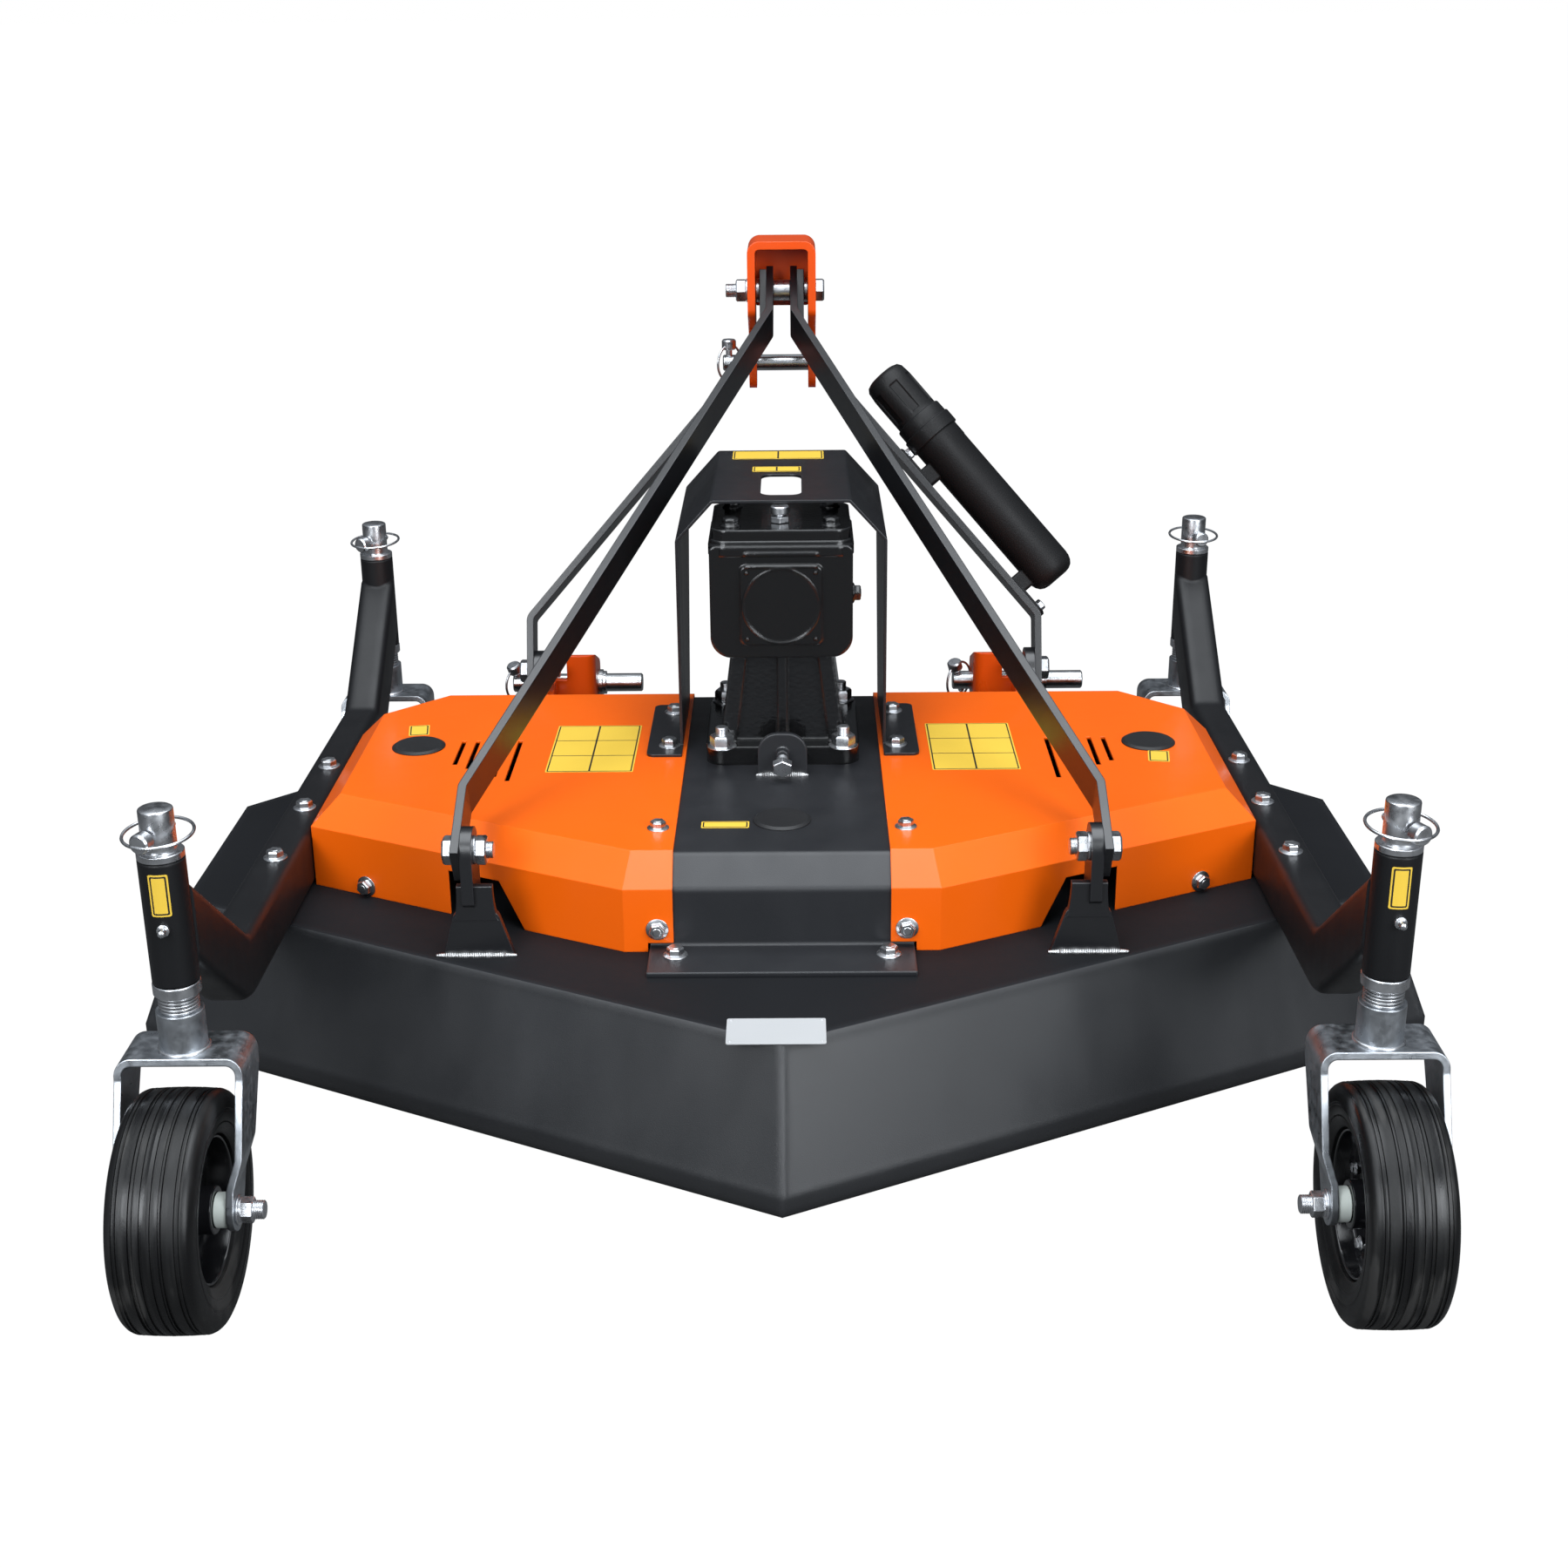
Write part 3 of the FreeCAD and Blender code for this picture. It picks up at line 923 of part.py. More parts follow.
# Casters: a fork of flat bar under a collar and pivot pin, with a wheel on an axle bolt
eye_x = (D["hub_length"] / 2 + 4 + D["fork_plate"] / 2)
for place, back in (("rear", 0), ("front", D["wheelbase"])):
    for name, side in (("left", -1), ("right", 1)):
        tag = place + "_" + name
        px, axle_y = side * D["post_x"], back - D["trail"]
        leg_x, bar_z = (D["fork_width"] - D["fork_plate"]) / 2, D["fork_top"] - D["fork_plate"] / 2
        axle_z = D["wheel_radius"]
        leg = [(eye_x, axle_z - D["fork_eye"] - 1), (eye_x, axle_z + 22), (leg_x, axle_z + 44), (leg_x, bar_z)]
        line = [(px - x, z) for x, z in leg] + [(px + x, z) for x, z in reversed(leg)]
        bar = strip(line, D["fork_plate"], D["fork_bend"], "XZ", back - 120, back + 60)
        form = plate([
            (back + D["fork_front"], D["fork_top"] + 1), (back - D["fork_rear"], D["fork_top"] + 1),
            (back - D["fork_rear"] - 4, D["fork_top"] - 18), (axle_y - 15, axle_z + 8),
            (axle_y + 14, axle_z - 9), (back + D["fork_front"], D["fork_top"] - 26),
        ], "YZ", px - 80, px + 80, [0, 0, 8, 0, 0, 8])
        form = form.fuse(drum((axle_y, axle_z), D["fork_eye"], "YZ", px - 80, px + 80))
        hole = drum((axle_y, axle_z), D["axle_radius"] + D["pivot_clearance"], "YZ", px - 80, px + 80)
        collar = Part.makeCylinder(D["collar_radius"], D["collar_height"], Vector(px, back, D["fork_top"]))
        fork = bar.common(form).cut(hole).fuse(collar).removeSplitter()
        node(made("fork_" + tag, fork), "caster_fork_" + tag)
        y = "rear_post_y" + (" + wheelbase" if back else "")
        x = "%d * post_x" % side
        stack = "spacer_height"
        under = "post_bottom - gap - fork_top - collar_height"
        above = "post_bottom + post_height + gap - fork_top - collar_height"
        pin_end = "pivot_top - fork_top - collar_height"
        pin = turned("pivot_" + tag, [
            ("0", "0"), ("spacer_radius", "0"), ("spacer_radius", stack), ("collar_radius", stack),
            ("collar_radius", under), ("pivot_radius", under), ("pivot_radius", above),
            ("post_radius", above), ("post_radius", above + " + washer_plate"),
            ("pivot_radius", above + " + washer_plate"), ("pivot_radius", pin_end + " - 2"),
            ("pivot_radius - 2", pin_end), ("0", pin_end),
        ], x=x, y=y, z="fork_top + collar_height")
        node(pin, "caster_pivot_" + tag)
        axle = turned("axle_" + tag, [
            ("0", "-axle_length / 2 - 8"), ("12", "-axle_length / 2 - 8"),
            ("12", "-hub_length / 2 - 4 - fork_plate"),
            ("axle_radius", "-hub_length / 2 - 4 - fork_plate"), ("axle_radius", "-hub_length / 2 - 4"),
            ("bush_radius", "-hub_length / 2 - 4"), ("bush_radius", "-hub_length / 2 - gap"),
            ("axle_radius", "-hub_length / 2 - gap"), ("axle_radius", "hub_length / 2 + gap"),
            ("bush_radius", "hub_length / 2 + gap"), ("bush_radius", "hub_length / 2 + 4"),
            ("axle_radius", "hub_length / 2 + 4"), ("axle_radius", "hub_length / 2 + 4 + fork_plate"),
            ("12", "hub_length / 2 + 4 + fork_plate"), ("12", "axle_length / 2 + 4"),
            ("axle_radius", "axle_length / 2 + 4"), ("axle_radius", "axle_length / 2 + 8"),
            ("0", "axle_length / 2 + 8"),
        ], ACROSS, x=x, y=y + " - trail", z="wheel_radius")
        node(axle, "wheel_axle_" + tag)
        rim = turned("rim_" + tag, [
            ("axle_radius + pivot_clearance", "-hub_length / 2"), ("hub_radius", "-hub_length / 2"),
            ("hub_radius", "-rim_sheet"), ("rim_radius - 22", "-rim_sheet"),
            ("rim_radius - 12", "rim_sheet - rim_dish"), ("rim_radius - rim_sheet", "rim_sheet - rim_dish"),
            ("rim_radius - rim_sheet", "-rim_width / 2"), ("rim_radius", "-rim_width / 2"),
            ("rim_radius", "rim_width / 2"), ("rim_radius - rim_sheet", "rim_width / 2"),
            ("rim_radius - rim_sheet", "3 * rim_sheet - rim_dish"),
            ("rim_radius - 12", "3 * rim_sheet - rim_dish"),
            ("rim_radius - 22", "rim_sheet"), ("hub_radius", "rim_sheet"), ("hub_radius", "hub_length / 2"),
            ("axle_radius + pivot_clearance", "hub_length / 2"),
        ], ACROSS, x=x, y=y + " - trail", z="wheel_radius")
        node(rim, "wheel_rim_" + tag)
        tyre = turned("tyre_" + tag, [
            ("rim_radius", "-tyre_width / 2 + 5"), ("rim_radius + 14", "-tyre_width / 2"),
            ("wheel_radius - tyre_shoulder", "-tyre_width / 2"),
            ("wheel_radius - tyre_shoulder * 0.3", "-tyre_width / 2 + tyre_shoulder * 0.3"),
            ("wheel_radius", "-tyre_width / 2 + tyre_shoulder"),
            ("wheel_radius", "tyre_width / 2 - tyre_shoulder"),
            ("wheel_radius - tyre_shoulder * 0.3", "tyre_width / 2 - tyre_shoulder * 0.3"),
            ("wheel_radius - tyre_shoulder", "tyre_width / 2"), ("rim_radius + 14", "tyre_width / 2"),
            ("rim_radius", "tyre_width / 2 - 5"),
        ], ACROSS, x=x, y=y + " - trail", z="wheel_radius")
        node(tyre, "tyre_" + tag)

# Every object has to be up to date and every sub-part a valid solid before anything is written
doc.recompute()
for thing in doc.Objects:
    if "Invalid" in thing.State or "Error" in thing.State:
        raise RuntimeError("%s did not build: %s" % (thing.Label, thing.State))
os.makedirs("parts", exist_ok=True)
for thing in NODES:
    if thing.Shape.isNull() or not thing.Shape.isValid():
        raise RuntimeError("%s is not a valid shape" % thing.Label)
    thing.Shape.exportStep("parts/%s.step" % thing.Label)
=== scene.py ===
"""Looks of a rear finishing mower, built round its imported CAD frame."""

import json
import math

import bmesh
import bpy
from mathutils import Matrix, Vector

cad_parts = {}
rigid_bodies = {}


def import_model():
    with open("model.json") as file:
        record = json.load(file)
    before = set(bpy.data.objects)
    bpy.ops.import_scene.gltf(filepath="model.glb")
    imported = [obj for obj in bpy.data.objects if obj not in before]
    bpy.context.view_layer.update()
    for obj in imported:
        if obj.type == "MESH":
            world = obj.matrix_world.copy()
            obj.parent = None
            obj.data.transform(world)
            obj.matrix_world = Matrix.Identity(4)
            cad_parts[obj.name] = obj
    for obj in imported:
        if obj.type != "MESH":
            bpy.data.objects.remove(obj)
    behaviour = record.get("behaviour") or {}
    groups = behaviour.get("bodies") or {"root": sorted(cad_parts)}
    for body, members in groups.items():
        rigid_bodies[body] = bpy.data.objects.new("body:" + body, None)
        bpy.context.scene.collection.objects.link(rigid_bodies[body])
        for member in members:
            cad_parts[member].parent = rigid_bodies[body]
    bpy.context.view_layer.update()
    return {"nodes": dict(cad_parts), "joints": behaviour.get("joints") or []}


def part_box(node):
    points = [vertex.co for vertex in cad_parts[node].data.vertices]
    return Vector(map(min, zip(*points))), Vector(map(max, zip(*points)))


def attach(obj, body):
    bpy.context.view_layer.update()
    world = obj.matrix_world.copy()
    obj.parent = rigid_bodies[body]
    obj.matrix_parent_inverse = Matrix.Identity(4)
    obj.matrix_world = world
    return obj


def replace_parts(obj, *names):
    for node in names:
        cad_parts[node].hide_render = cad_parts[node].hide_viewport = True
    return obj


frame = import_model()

# The studio: a white floor, a cool dome that is dark beyond the machine and bright overhead and behind
# the camera, three large soft lamps, and the camera behind the machine and a little above it.
scene = bpy.context.scene
nodes_of = frame["nodes"]
camera_turn, camera_dip, camera_roll = math.radians(-0.44), math.radians(21.02), math.radians(-0.54)
ahead = Vector((math.sin(camera_turn) * math.cos(camera_dip), math.cos(camera_turn) * math.cos(camera_dip),
                -math.sin(camera_dip)))
level_right = Vector((math.cos(camera_turn), -math.sin(camera_turn), 0))
level_up = level_right.cross(ahead)
right = level_right * math.cos(camera_roll) + level_up * math.sin(camera_roll)
up = level_up * math.cos(camera_roll) - level_right * math.sin(camera_roll)
camera = bpy.data.objects.new("camera", bpy.data.cameras.new("camera"))
camera.data.sensor_width, camera.data.lens = 36, 48.16
camera.matrix_world = Matrix.Translation((0.0166, -1.9724, 1.0363)) @ Matrix(
    (right, up, -ahead)).transposed().to_4x4()
scene.collection.objects.link(camera)
scene.camera = camera
scene.view_settings.view_transform = "Standard"

world = bpy.data.worlds.new("studio")
scene.world = world
world.use_nodes = True
tree = world.node_tree
background = tree.nodes["Background"]
background.inputs["Strength"].default_value = 0.85
looking = tree.nodes.new("ShaderNodeTexCoord")
height = tree.nodes.new("ShaderNodeVectorMath")
height.operation = "DOT_PRODUCT"
height.inputs[1].default_value = (0, -0.38, 1)
dome = tree.nodes.new("ShaderNodeValToRGB")
dome.color_ramp.elements.new(0.45)
for element, (level, colour) in zip(dome.color_ramp.elements, (
        (0.05, (0.07, 0.076, 0.084)), (0.45, (0.27, 0.29, 0.32)), (0.95, (0.87, 0.94, 1.0)))):
    element.position, element.color = level, (*colour, 1)
tree.links.new(looking.outputs["Generated"], height.inputs[0])
tree.links.new(height.outputs["Value"], dome.inputs["Fac"])
tree.links.new(dome.outputs["Color"], background.inputs["Color"])
white = tree.nodes.new("ShaderNodeBackground")
eye = tree.nodes.new("ShaderNodeLightPath")
choice = tree.nodes.new("ShaderNodeMixShader")
tree.links.new(eye.outputs["Is Camera Ray"], choice.inputs[0])
tree.links.new(background.outputs[0], choice.inputs[1])
tree.links.new(white.outputs[0], choice.inputs[2])
tree.links.new(choice.outputs[0], tree.nodes["World Output"].inputs[0])
white.inputs["Color"].default_value = (1, 1, 1, 1)
for lamp_name, place, aim, power, size in (
    ("lamp_left", (-1.6, -3.0, 1.9), (0, 0, 0.3), 70, 1.4),
    ("lamp_right", (2.1, -3.0, 1.7), (0, 0, 0.3), 88, 1.8),
    ("lamp_over", (0.0, -0.35, 3.0), (0, 0, 0.2), 98, 2.8),
):
    lamp = bpy.data.lights.new(lamp_name, "AREA")
    lamp.energy, lamp.size, lamp.color = power, size, (0.92, 0.96, 1.0)
    stand = bpy.data.objects.new(lamp_name, lamp)
    stand.location = place
    stand.rotation_euler = (Vector(aim) - Vector(place)).to_track_quat("-Z", "Y").to_euler()
    scene.collection.objects.link(stand)

floor_mesh = bpy.data.meshes.new("studio_floor")
floor_mesh.from_pydata([(-30, -10, 0), (30, -10, 0), (30, 60, 0), (-30, 60, 0)], [], [(0, 1, 2, 3)])
floor = bpy.data.objects.new("studio_floor", floor_mesh)
scene.collection.objects.link(floor)
floor_paint = bpy.data.materials.new("studio_white")
floor_paint.use_nodes = True
tree = floor_paint.node_tree
shader = tree.nodes["Principled BSDF"]
shader.inputs["Base Color"].default_value = (0.1, 0.1, 0.1, 1)
shader.inputs["Roughness"].default_value = 0.9
shader.inputs["Specular IOR Level"].default_value = 0.1
glow = tree.nodes.new("ShaderNodeEmission")
glow.inputs["Color"].default_value = (1, 1, 1, 1)
glow.inputs["Strength"].default_value = 1.25
eye = tree.nodes.new("ShaderNodeLightPath")
share = tree.nodes.new("ShaderNodeMath")
share.operation = "MULTIPLY"
share.inputs[1].default_value = 0.8
blend = tree.nodes.new("ShaderNodeMixShader")
tree.links.new(eye.outputs["Is Camera Ray"], share.inputs[0])
tree.links.new(share.outputs[0], blend.inputs[0])
tree.links.new(shader.outputs[0], blend.inputs[1])
tree.links.new(glow.outputs[0], blend.inputs[2])
tree.links.new(blend.outputs[0], tree.nodes["Material Output"].inputs[0])
floor_mesh.materials.append(floor_paint)


# Deck pan: 4 mm sheet folded into a ten-sided tray, seam welded and powder coated in satin charcoal.
# A blank aluminium plate is riveted above its rear point.
def noise_on(tree, scale, detail=2.0, stretch=None):
    """Cloudy value on the piece's own coordinates."""
    place = tree.nodes.new("ShaderNodeTexCoord").outputs["Object"]
    if stretch:
        mapping = tree.nodes.new("ShaderNodeMapping")
        mapping.inputs["Scale"].default_value = stretch
        tree.links.new(place, mapping.inputs["Vector"])
        place = mapping.outputs["Vector"]
    noise = tree.nodes.new("ShaderNodeTexNoise")
    noise.inputs["Scale"].default_value = scale
    noise.inputs["Detail"].default_value = detail
    tree.links.new(place, noise.inputs["Vector"])
    return noise.outputs["Fac"]


def ramp_of(tree, value, stops):
    """Colour or grey by a value: stops are (position, colour)."""
    ramp = tree.nodes.new("ShaderNodeValToRGB")
    ramp.color_ramp.elements[0].position, ramp.color_ramp.elements[1].position = stops[0][0], stops[-1][0]
    for stop in stops[1:-1]:
        ramp.color_ramp.elements.new(stop[0])
    for element, colour in zip(ramp.color_ramp.elements, [stop[1] for stop in stops]):
        element.color = (*colour, 1) if isinstance(colour, tuple) else (colour, colour, colour, 1)
    tree.links.new(value, ramp.inputs["Fac"])
    return ramp.outputs["Color"]


def eased(tree, radius):
    """Normal that runs round sharp edges, and how much it is turned there."""
    bevel = tree.nodes.new("ShaderNodeBevel")
    bevel.samples = 8
    bevel.inputs["Radius"].default_value = radius
    shape = tree.nodes.new("ShaderNodeNewGeometry")
    facing = tree.nodes.new("ShaderNodeVectorMath")
    facing.operation = "DOT_PRODUCT"
    tree.links.new(bevel.outputs["Normal"], facing.inputs[0])
    tree.links.new(shape.outputs["Normal"], facing.inputs[1])
    return bevel.outputs["Normal"], facing.outputs["Value"]


def coated(name, colour, roughness, peel=0.12, edge=0.0015, coat=0.0, cloud=0.25, wear_and_highlight=1.6, grit=1100.0,
           shine=0.38, painted_top_shade=0.0):
    """Powder-coated or sprayed steel: orange peel, faint clouds, edges lighter as rubbed paint and painted
    highlight, level faces duller and less shiny as painted shade.
    """
    paint = bpy.data.materials.new(name)
    paint.use_nodes = True
    tree = paint.node_tree
    shader = tree.nodes["Principled BSDF"]
    normal, facing = eased(tree, edge)
    clouds = noise_on(tree, 7.0, 4.0)
    darker = tuple(c * (1 - cloud) for c in colour)
    lighter = tuple(min(1, c * (1 + cloud)) for c in colour)
    body = ramp_of(tree, clouds, [(0.3, darker), (0.7, lighter)])
    # Edges take a lighter colour: partly rubbed paint, partly a painted highlight
    rub_and_highlight = ramp_of(tree, facing, [(0.86, 1.0), (0.985, 0.0)])
    mix = tree.nodes.new("ShaderNodeMix")
    mix.data_type = "RGBA"
    mix.inputs["B"].default_value = (*[min(1, c * wear_and_highlight + 0.004) for c in colour], 1)
    tree.links.new(rub_and_highlight, mix.inputs["Factor"])
    tree.links.new(body, mix.inputs["A"])
    tree.links.new(mix.outputs["Result"], shader.inputs["Base Color"])
    streaks = noise_on(tree, 24.0, 5.0, (1, 1, 0.3))
    level = tree.nodes.new("ShaderNodeSeparateXYZ")
    tree.links.new(tree.nodes.new("ShaderNodeTexCoord").outputs["Normal"], level.inputs[0])
    gloss = tree.nodes.new("ShaderNodeMath")
    tree.links.new(ramp_of(tree, streaks, [(0.25, roughness * 0.86), (0.8, min(1, roughness * 1.14))]),
                   gloss.inputs[0])
    tree.links.new(ramp_of(tree, level.outputs["Z"], [(0.93, 0.0), (0.99, painted_top_shade)]), gloss.inputs[1])
    tree.links.new(gloss.outputs[0], shader.inputs["Roughness"])
    bump = tree.nodes.new("ShaderNodeBump")
    bump.inputs["Strength"].default_value = peel
    bump.inputs["Distance"].default_value = 0.0006
    tree.links.new(noise_on(tree, grit, 1.0), bump.inputs["Height"])
    tree.links.new(normal, bump.inputs["Normal"])
    tree.links.new(bump.outputs["Normal"], shader.inputs["Normal"])
    tree.links.new(bump.outputs["Normal"], shader.inputs["Coat Normal"])
    shader.inputs["Specular IOR Level"].default_value = shine
    # Level faces keep only a little shine, a painted shade that darkens the tops
    if painted_top_shade:
        tree.links.new(ramp_of(tree, level.outputs["Z"], [(0.93, shine), (0.99, shine * 0.15)]),
                       shader.inputs["Specular IOR Level"])
    shader.inputs["Coat Weight"].default_value = coat
    shader.inputs["Coat Roughness"].default_value = 0.12
    return paint


def dress(names, finish):
    """Gives CAD nodes their finish."""
    for name in names:
        mesh = nodes_of[name].data
        mesh.materials.clear()
        mesh.materials.append(finish)


# The deck's level faces are darkened as painted shade by taking away most of their shine
deck_paint = coated("charcoal_powder_coat", (0.008, 0.0085, 0.010), 0.4, peel=0.12, edge=0.013, cloud=0.1,
                    shine=0.8, painted_top_shade=0.3)
dress(["deck_shell"], deck_paint)


def placed(bm, name, body, finish=None, smooth=35.0):
    """Finished piece: outward faces, soft shading below an angle, riding on its body."""
    bmesh.ops.remove_doubles(bm, verts=bm.verts, dist=1e-6)
    bmesh.ops.recalc_face_normals(bm, faces=bm.faces)
    mesh = bpy.data.meshes.new(name)
    bm.to_mesh(mesh)
    bm.free()
    mesh.polygons.foreach_set("use_smooth", [True] * len(mesh.polygons))
    mesh.set_sharp_from_angle(angle=math.radians(smooth))
    mesh.materials.append(finish)
    piece = bpy.data.objects.new(name, mesh)
    scene.collection.objects.link(piece)
    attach(piece, body)
    return piece


def lathe(bm, profile, place=None, steps=32, closed=False):
    """Surface turned about Z through (radius, height) points; closed joins the last ring to the first."""
    place = place or Matrix.Identity(4)
    rings = []
    for radius, height in profile:
        if radius < 1e-7:
            rings.append([bm.verts.new(place @ Vector((0, 0, height)))])
            continue
        turns = [2 * math.pi * (k + 0.5) / steps for k in range(steps)]
        rings.append([bm.verts.new(place @ Vector((radius * math.cos(a), radius * math.sin(a), height)))
                      for a in turns])
    pairs = list(zip(rings, rings[1:])) + ([(rings[-1], rings[0])] if closed else [])
    for low, high in pairs:
        for k in range(steps):
            j = (k + 1) % steps
            corners = [low[k % len(low)], low[j % len(low)], high[j % len(high)], high[k % len(high)]]
            corners = list(dict.fromkeys(corners))
            if len(corners) > 2:
                bm.faces.new(corners)
    return bm


def slab(bm, outline, low, high, place=None, ease=0.0):
    """Flat plate with a rounded upper rim: outline of (x, y) points from low to high along Z."""
    place = place or Matrix.Identity(4)
    middle = Vector((sum(p[0] for p in outline), sum(p[1] for p in outline))) / len(outline)
    levels = [(low, 0.0), (high - ease, 0.0), (high, ease)] if ease else [(low, 0.0), (high, 0.0)]
    rings = []
    for level, inward in levels:
        ring = []
        for x, y in outline:
            out = Vector((x, y)) - middle
            point = middle + out * (1 - inward / max(out.length, inward + 1e-6))
            ring.append(bm.verts.new(place @ Vector((point.x, point.y, level))))
        rings.append(ring)
    for a, b in zip(rings, rings[1:]):
        for k in range(len(a)):
            j = (k + 1) % len(a)
            bm.faces.new([a[k], a[j], b[j], b[k]])
    bm.faces.new(rings[0][::-1])
    bm.faces.new(rings[-1])
    return bm


def rounded(width, length, radius, steps=5):
    """Rectangle with round corners about the origin."""
    points = []
    for cx, cy, start in ((1, 1, 0), (-1, 1, 90), (-1, -1, 180), (1, -1, 270)):
        for k in range(steps + 1):
            a = math.radians(start + 90 * k / steps)
            points.append((cx * (width / 2 - radius) + radius * math.cos(a),
                           cy * (length / 2 - radius) + radius * math.sin(a)))
    return points


def frame_at(point, out, along=(0, 0, 1)):
    """Matrix at a point whose Z points out of the surface and whose Y lies near a direction."""
    z = Vector(out).normalized()
    y = (Vector(along) - z * Vector(along).dot(z)).normalized()
    x = y.cross(z)
    return Matrix.Translation(point) @ Matrix((x, y, z)).transposed().to_4x4()


def bare_metal(name, colour, roughness, brushed=0.0, edge=0.0008):
    """Bare, plated or machined steel with faint clouds, scratches and dull spots."""
    metal = bpy.data.materials.new(name)
    metal.use_nodes = True
    tree = metal.node_tree
    shader = tree.nodes["Principled BSDF"]
    shader.inputs["Metallic"].default_value = 1.0
    normal, facing = eased(tree, edge)
    dull = tuple(c * 0.72 for c in colour)
    tree.links.new(ramp_of(tree, noise_on(tree, 45.0, 6.0), [(0.3, dull), (0.62, colour)]),
                   shader.inputs["Base Color"])
    tree.links.new(ramp_of(tree, noise_on(tree, 130.0, 3.0),
                           [(0.3, roughness * 0.75), (0.75, roughness * 1.35)]),
                   shader.inputs["Roughness"])
    bump = tree.nodes.new("ShaderNodeBump")
    bump.inputs["Strength"].default_value = 0.08 + brushed
    bump.inputs["Distance"].default_value = 0.0003
    tree.links.new(noise_on(tree, 700.0 if brushed else 260.0, 2.0, (1, 1, 9) if brushed else None),
                   bump.inputs["Height"])
    tree.links.new(normal, bump.inputs["Normal"])
    tree.links.new(bump.outputs["Normal"], shader.inputs["Normal"])
    return metal


zinc = bare_metal("bright_zinc_plate", (0.66, 0.67, 0.69), 0.3)
aluminium = coated("plate_aluminium", (0.42, 0.425, 0.43), 0.42, peel=0.03, edge=0.0003, cloud=0.03,
                   wear_and_highlight=1.2)
# Heads are let into their faces by this much, and films stand clear of theirs by it
hair = 0.0001
deck_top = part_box("deck_shell")[1].z
plate_wide, plate_deep, rivet_inset = 0.086, 0.046, 0.0035
plate_place = frame_at((-0.0045, -0.364, deck_top + hair), (0, 0, 1), (0, 1, 0))
bm = slab(bmesh.new(), rounded(plate_wide, plate_deep, 0.002), -0.0003, 0.0009, plate_place, ease=0.0002)
for x in (rivet_inset - plate_wide / 2, plate_wide / 2 - rivet_inset):
    for y in (rivet_inset - plate_deep / 2, plate_deep / 2 - rivet_inset):
        lathe(bm, [(0.0016, 0.0006), (0.0016, 0.0012), (0.0009, 0.0017), (0, 0.0018)],
              plate_place @ Matrix.Translation((x, y, 0)), 12)
placed(bm, "maker_plate_blank", "deck_frame", aluminium)


# Wheel arms: bent box section with a post tube at each end, coated black and bolted to the deck
# with flanged hexagon bolts. Every post has a greasing nipple, the rear ones a small blank yellow label.
arm_paint = coated("arm_powder_coat", (0.0045, 0.0047, 0.0056), 0.46, peel=0.12, edge=0.003, cloud=0.1,
                   shine=0.36)
joint_at = {joint["name"]: joint["pos_m"] for joint in frame["joints"]}
post_x, post_rear = joint_at["caster_swivel_rear_right"][:2]
post_front = joint_at["caster_swivel_front_right"][1]
post_foot, post_top, post_radius, post_bore, post_edge = 0.2822, 0.3898, 0.0190, 0.0142, 0.0006
half_wide, half_high, arm_edge = 0.020, 0.030, 0.009
arm_level, arm_rise, bend_radius, bend_from_post = deck_top + half_high, math.radians(38), 0.046, 0.1457
arm_from_post, seat_length, seat_lift, tube_wall = 0.006, 0.046, 0.0030, 0.0165
bend_reach = bend_radius * math.tan(arm_rise / 2)
quarter = [(math.sin(math.radians(a)), math.cos(math.radians(a))) for a in (0, 22.5, 45, 67.5, 90)]
corner = [(half_wide - arm_edge + arm_edge * s, half_high - arm_edge + arm_edge * c) for s, c in quarter]
arm_section = [(0, half_high), (0.006, half_high)] + corner
arm_section += [(x, -h) for x, h in reversed(corner)] + [(0.006, -half_high), (0, -half_high)]
arm_section += [(-x, h) for x, h in reversed(arm_section[1:-1])]


def arm_end_ring(bm, x, post, inward, distance):
    """Section of an arm's rising end; nearest the post it follows the tube and clears the collar."""
    at_post = distance == arm_from_post
    level = arm_level + (bend_from_post - distance) * math.tan(arm_rise)
    ring_verts = []
    for across, height in arm_section:
        inside = tube_wall ** 2 - across * across if at_post else 0
        back = max(distance, math.sqrt(inside) if inside > 0 else 0)
        rise = level - (back - distance) * math.tan(arm_rise) + height / math.cos(arm_rise)
        if at_post and height < 0:
            rise += seat_lift
        ring_verts.append(bm.verts.new((x + across, post + inward * back, rise)))
    return ring_verts


for tag, x in (("left", -post_x), ("right", post_x)):
    bm = bmesh.new()
    rings = []
    for post, inward in ((post_rear, 1), (post_front, -1)):
        half = [arm_end_ring(bm, x, post, inward, distance) for distance in (arm_from_post, seat_length)]
        for k in range(9):
            turn = arm_rise * (1 - k / 8)
            y = post + inward * bend_from_post - inward * (bend_radius * math.sin(turn) - bend_reach)
            z = arm_level + bend_radius * (1 - math.cos(turn))
            half.append([bm.verts.new((x + across, y + inward * height * math.sin(turn),
                                       z + height * math.cos(turn))) for across, height in arm_section])
        rings += half if inward == 1 else half[::-1]
    count = len(arm_section)
    for a, b in zip(rings, rings[1:]):
        for k in range(count):
            bm.faces.new([a[k], a[(k + 1) % count], b[(k + 1) % count], b[k]])
    for end in (rings[0], rings[-1]):
        for k in range(count // 2):
            bm.faces.new(dict.fromkeys([end[k], end[k + 1], end[(count - k - 1) % count],
                                        end[(count - k) % count]]))
    for post in (post_rear, post_front):
        lathe(bm, [(post_bore, post_foot), (post_radius - post_edge, post_foot),
                   (post_radius, post_foot + post_edge), (post_radius, post_top - post_edge),
                   (post_radius - post_edge, post_top), (post_bore, post_top)],
              Matrix.Translation((x, post, 0)), 64, closed=True)
    arm = placed(bm, "wheel_arm_" + tag + "_formed", "deck_frame", arm_paint, smooth=40)
    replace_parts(arm, "wheel_arm_" + tag)


